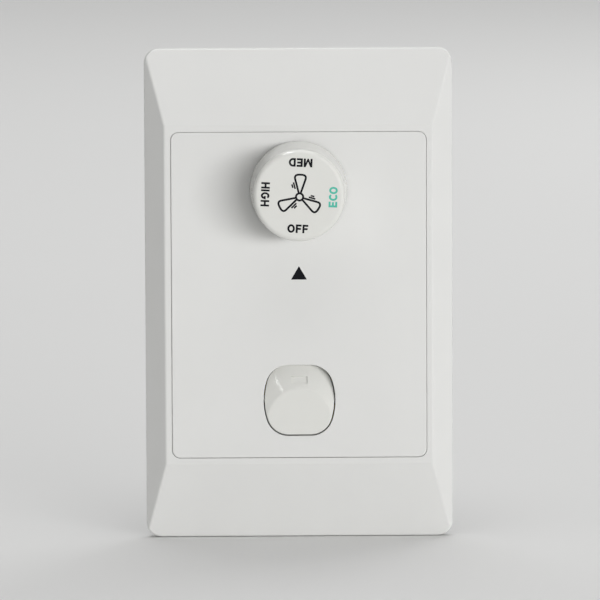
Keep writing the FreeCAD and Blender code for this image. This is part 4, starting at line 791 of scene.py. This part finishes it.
@dataclass
class LightSwitch:
    """The rocker and the change-over mechanism behind it."""

    spring_wire: float = 0.36
    wire_sides: int = 12
    coil_radius: float = 1.14
    coil_turns: int = 4
    turn_steps: int = 24
    coil_start: float = -1.195
    coil_length: float = 2.99

    def dress(self) -> None:
        """Give the rocker and the mechanism their finishes."""
        dress_nodes(GLOSS_PC, ("rocker",))
        dress_nodes(FRAME_NYLON, ("mech_frame",))
        dress_nodes(BODY_UREA, ("mech_body",))
        dress_nodes(ACETAL, ("plunger",))
        dress_nodes(SPRING_STEEL, ("plunger_spring",))
        dress_nodes(ZINC_STEEL, ("mech_screws",))
        dress_nodes(CONTACT_BRASS, (
            "contact_bar", "common_terminal", "upper_terminal", "lower_terminal"))

    def build_spring(self) -> None:
        """Wind the plunger's spring as a fixed coil that rides on the rocker; the real one shortens as
        the plunger is pushed in.

        It is wound along Z in mm, then laid along the rocker's tube, measured rearward from the pivot.
        """
        slide = JOINTS["plunger_slide"]
        inward = Vector(slide["axis"])
        tube_tilt = math.atan2(inward.z, -inward.y)
        rearward = Matrix.Rotation(math.radians(-90) - tube_tilt, 4, "X")
        pivot = Matrix.Translation(JOINTS["rocker_pivot"]["pos_m"])
        tube = pivot @ Matrix.Scale(MM, 4) @ rearward
        steps = self.turn_steps * self.coil_turns
        mesh = bmesh.new()
        bmesh.ops.create_circle(mesh, cap_ends=True, segments=self.wire_sides,
                                radius=self.spring_wire / 2)
        upright = Matrix.Rotation(math.radians(90), 4, "X")
        section = Matrix.Translation((self.coil_radius, 0.0, 0.0)) @ upright
        bmesh.ops.transform(mesh, matrix=section, verts=mesh.verts)
        bmesh.ops.spin(mesh, geom=mesh.verts[:] + mesh.edges[:] + mesh.faces[:],
                       cent=(0.0, 0.0, 0.0), axis=(0.0, 0.0, 1.0),
                       dvec=(0.0, 0.0, self.coil_length / steps),
                       angle=2 * math.pi * self.coil_turns, steps=steps)
        for face in mesh.faces:
            face.smooth = True
        bmesh.ops.transform(mesh, matrix=tube @ Matrix.Translation((0.0, 0.0, self.coil_start)),
                            verts=mesh.verts)
        spring = add_piece(mesh, "plunger_coil", SPRING_STEEL, Body.ROCKER)
        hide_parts("plunger_spring")
        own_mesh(spring)


def direction(azimuth: float, elevation: float) -> Vector:
    """Return the way from the object to a place around it.

    Args:
        azimuth: Degrees from the front, growing to the right.
        elevation: Degrees above the level.

    Returns:
        A vector of length 1.
    """
    turn, rise = math.radians(azimuth), math.radians(elevation)
    level = math.cos(rise)
    return Vector((math.sin(turn) * level, -math.cos(turn) * level, math.sin(rise)))


@dataclass(frozen=True)
class Lamp:
    """A soft oblong lamp aimed at the object: angles in degrees, sizes in metres, power in watts."""

    name: str
    azimuth: float
    elevation: float
    distance: float
    width: float
    height: float
    power: float
    in_gloss: bool = True
    in_matt: bool = True

    def build(self) -> None:
        """Hang the lamp."""
        light = bpy.data.lights.new(self.name, "AREA")
        light.shape = "RECTANGLE"
        light.size = self.width
        light.size_y = self.height
        light.energy = self.power
        lamp = link_object(self.name, light)
        lamp.visible_glossy = self.in_gloss
        lamp.visible_diffuse = self.in_matt
        away = direction(self.azimuth, self.elevation)
        lamp.location = away * self.distance
        lamp.rotation_euler = away.to_track_quat("Z", "Y").to_euler()


@dataclass
class Studio:
    """A plain pale floor, soft lamps and the camera."""

    floor_side: float = 14.0
    floor_drop: float = 0.0001
    floor_colour: str = "#E4E4E3"
    floor_shade: str = "#E1E1E0"
    shade_size: float = 0.5
    fade_start: float = 1.9
    fade_end: float = 3.2
    ambient: float = 0.19
    backdrop: str = "#C8C8C7"
    camera_distance: float = 1.6
    camera_azimuth: float = -0.558
    camera_elevation: float = 6.6
    camera_roll: float = -0.244
    camera_target_mm: tuple[float, float, float] = (0.299, 0.0, -2.013)
    lens_mm: float = 405.56
    sensor_mm: float = 36.0
    # The key lamp makes the shadows and isn't mirrored; the two glint lamps only give their sparks.
    lamps: tuple[Lamp, ...] = (
        Lamp("key_lamp", 29.0, 4.7, 3.0, 2.0, 0.56, 58.8, in_gloss=False),
        Lamp("top_lamp", 5.0, 78.0, 1.5, 1.2, 1.2, 6.5),
        Lamp("knob_glint", -42.0, 70.0, 1.2, 0.3, 0.3, 6.0, in_matt=False),
        Lamp("rocker_glint", -30.7, 35.6, 1.2, 0.05, 0.05, 0.07, in_matt=False),
        Lamp("floor_lamp", 180.0, 56.0, 2.9, 2.6, 2.6, 35.0),
        Lamp("rear_lamp", 145.0, 25.0, 1.6, 0.9, 0.9, 4.0),
    )

    def floor_paint(self) -> bpy.types.Material:
        """Build the floor's matt paint, which goes over into the backdrop far away.

        Returns:
            The node material.
        """
        material, tree, place = new_material("matt painted floor")
        cloud = add_node(tree, "ShaderNodeTexNoise", None, {
            "Vector": place, "Scale": 1 / self.shade_size, "Detail": 3.0})
        colour = add_node(tree, "ShaderNodeMix", {"data_type": "RGBA"}, {
            0: cloud.outputs["Fac"], 6: linear(self.floor_colour), 7: linear(self.floor_shade)})
        shader = add_node(tree, "ShaderNodeBsdfPrincipled", None, {
            "Base Color": colour.outputs[2], "Roughness": 0.9})
        reach = add_node(tree, "ShaderNodeVectorMath", {"operation": "LENGTH"}, {0: place})
        fade = add_node(tree, "ShaderNodeMapRange", {"interpolation_type": "SMOOTHSTEP"}, {
            "Value": reach.outputs["Value"],
            "From Min": self.fade_start, "From Max": self.fade_end})
        haze = add_node(tree, "ShaderNodeEmission", None, {"Color": linear(self.backdrop)})
        both = add_node(tree, "ShaderNodeMixShader", None, {
            0: fade.outputs["Result"], 1: shader.outputs["BSDF"], 2: haze.outputs["Emission"]})
        add_node(tree, "ShaderNodeOutputMaterial", None, {"Surface": both.outputs["Shader"]})
        return material

    def build_floor(self) -> None:
        """Lay the floor just under the plate's lower edge."""
        low, _ = CAD_BOX
        mesh = bmesh.new()
        bmesh.ops.create_grid(mesh, x_segments=4, y_segments=4, size=self.floor_side / 2)
        bmesh.ops.translate(mesh, vec=(0.0, 0.0, low[2] - self.floor_drop), verts=mesh.verts)
        floor = mesh_object(mesh, "floor", self.floor_paint())

    def build_light(self) -> None:
        """Set an even world and hang the lamps; camera and gloss rays see the backdrop's tone."""
        world = bpy.data.worlds.new("studio")
        bpy.context.scene.world = world
        world.use_nodes = True
        tree = world.node_tree
        tree.nodes.clear()
        path = add_node(tree, "ShaderNodeLightPath")
        mirrored = add_node(tree, "ShaderNodeMath", {"operation": "MAXIMUM"}, {
            0: path.outputs["Is Glossy Ray"], 1: path.outputs["Is Transmission Ray"]})
        seen = add_node(tree, "ShaderNodeMath", {"operation": "MAXIMUM"}, {
            0: path.outputs["Is Camera Ray"], 1: mirrored.outputs["Value"]})
        light = add_node(tree, "ShaderNodeBackground", None, {
            "Color": (1.0, 1.0, 1.0, 1.0), "Strength": self.ambient})
        view = add_node(tree, "ShaderNodeBackground", None, {"Color": linear(self.backdrop)})
        both = add_node(tree, "ShaderNodeMixShader", None, {
            0: seen.outputs["Value"],
            1: light.outputs["Background"], 2: view.outputs["Background"]})
        add_node(tree, "ShaderNodeOutputWorld", None, {"Surface": both.outputs["Shader"]})
        for lamp in self.lamps:
            lamp.build()

    def build_camera(self) -> None:
        """Set the camera at the photograph's place."""
        data = bpy.data.cameras.new("camera")
        data.lens = self.lens_mm
        data.sensor_width = self.sensor_mm
        camera = link_object("camera", data)
        away = direction(self.camera_azimuth, self.camera_elevation)
        camera.location = Vector(self.camera_target_mm) * MM + away * self.camera_distance
        aim = away.to_track_quat("Z", "Y").to_matrix().to_4x4()
        roll = Matrix.Rotation(math.radians(self.camera_roll), 4, "Z")
        camera.rotation_euler = (aim @ roll).to_euler()
        bpy.context.scene.camera = camera


def main() -> None:
    """Dress and complete the switch, then set up the studio."""
    logging.basicConfig(level=logging.INFO, format="%(message)s")
    Surround().dress()
    panel = Panel()
    panel.dress()
    panel.build_pointer()
    knob = FanKnob()
    knob.dress()
    knob.build_legends()
    knob.build_symbol()
    SpeedSelector().dress()
    SpeedController().dress()
    switch = LightSwitch()
    switch.dress()
    switch.build_spring()
    studio = Studio()
    studio.build_floor()
    studio.build_light()
    studio.build_camera()
    bpy.context.scene.view_settings.view_transform = "Standard"


if __name__ == "__main__":
    main()
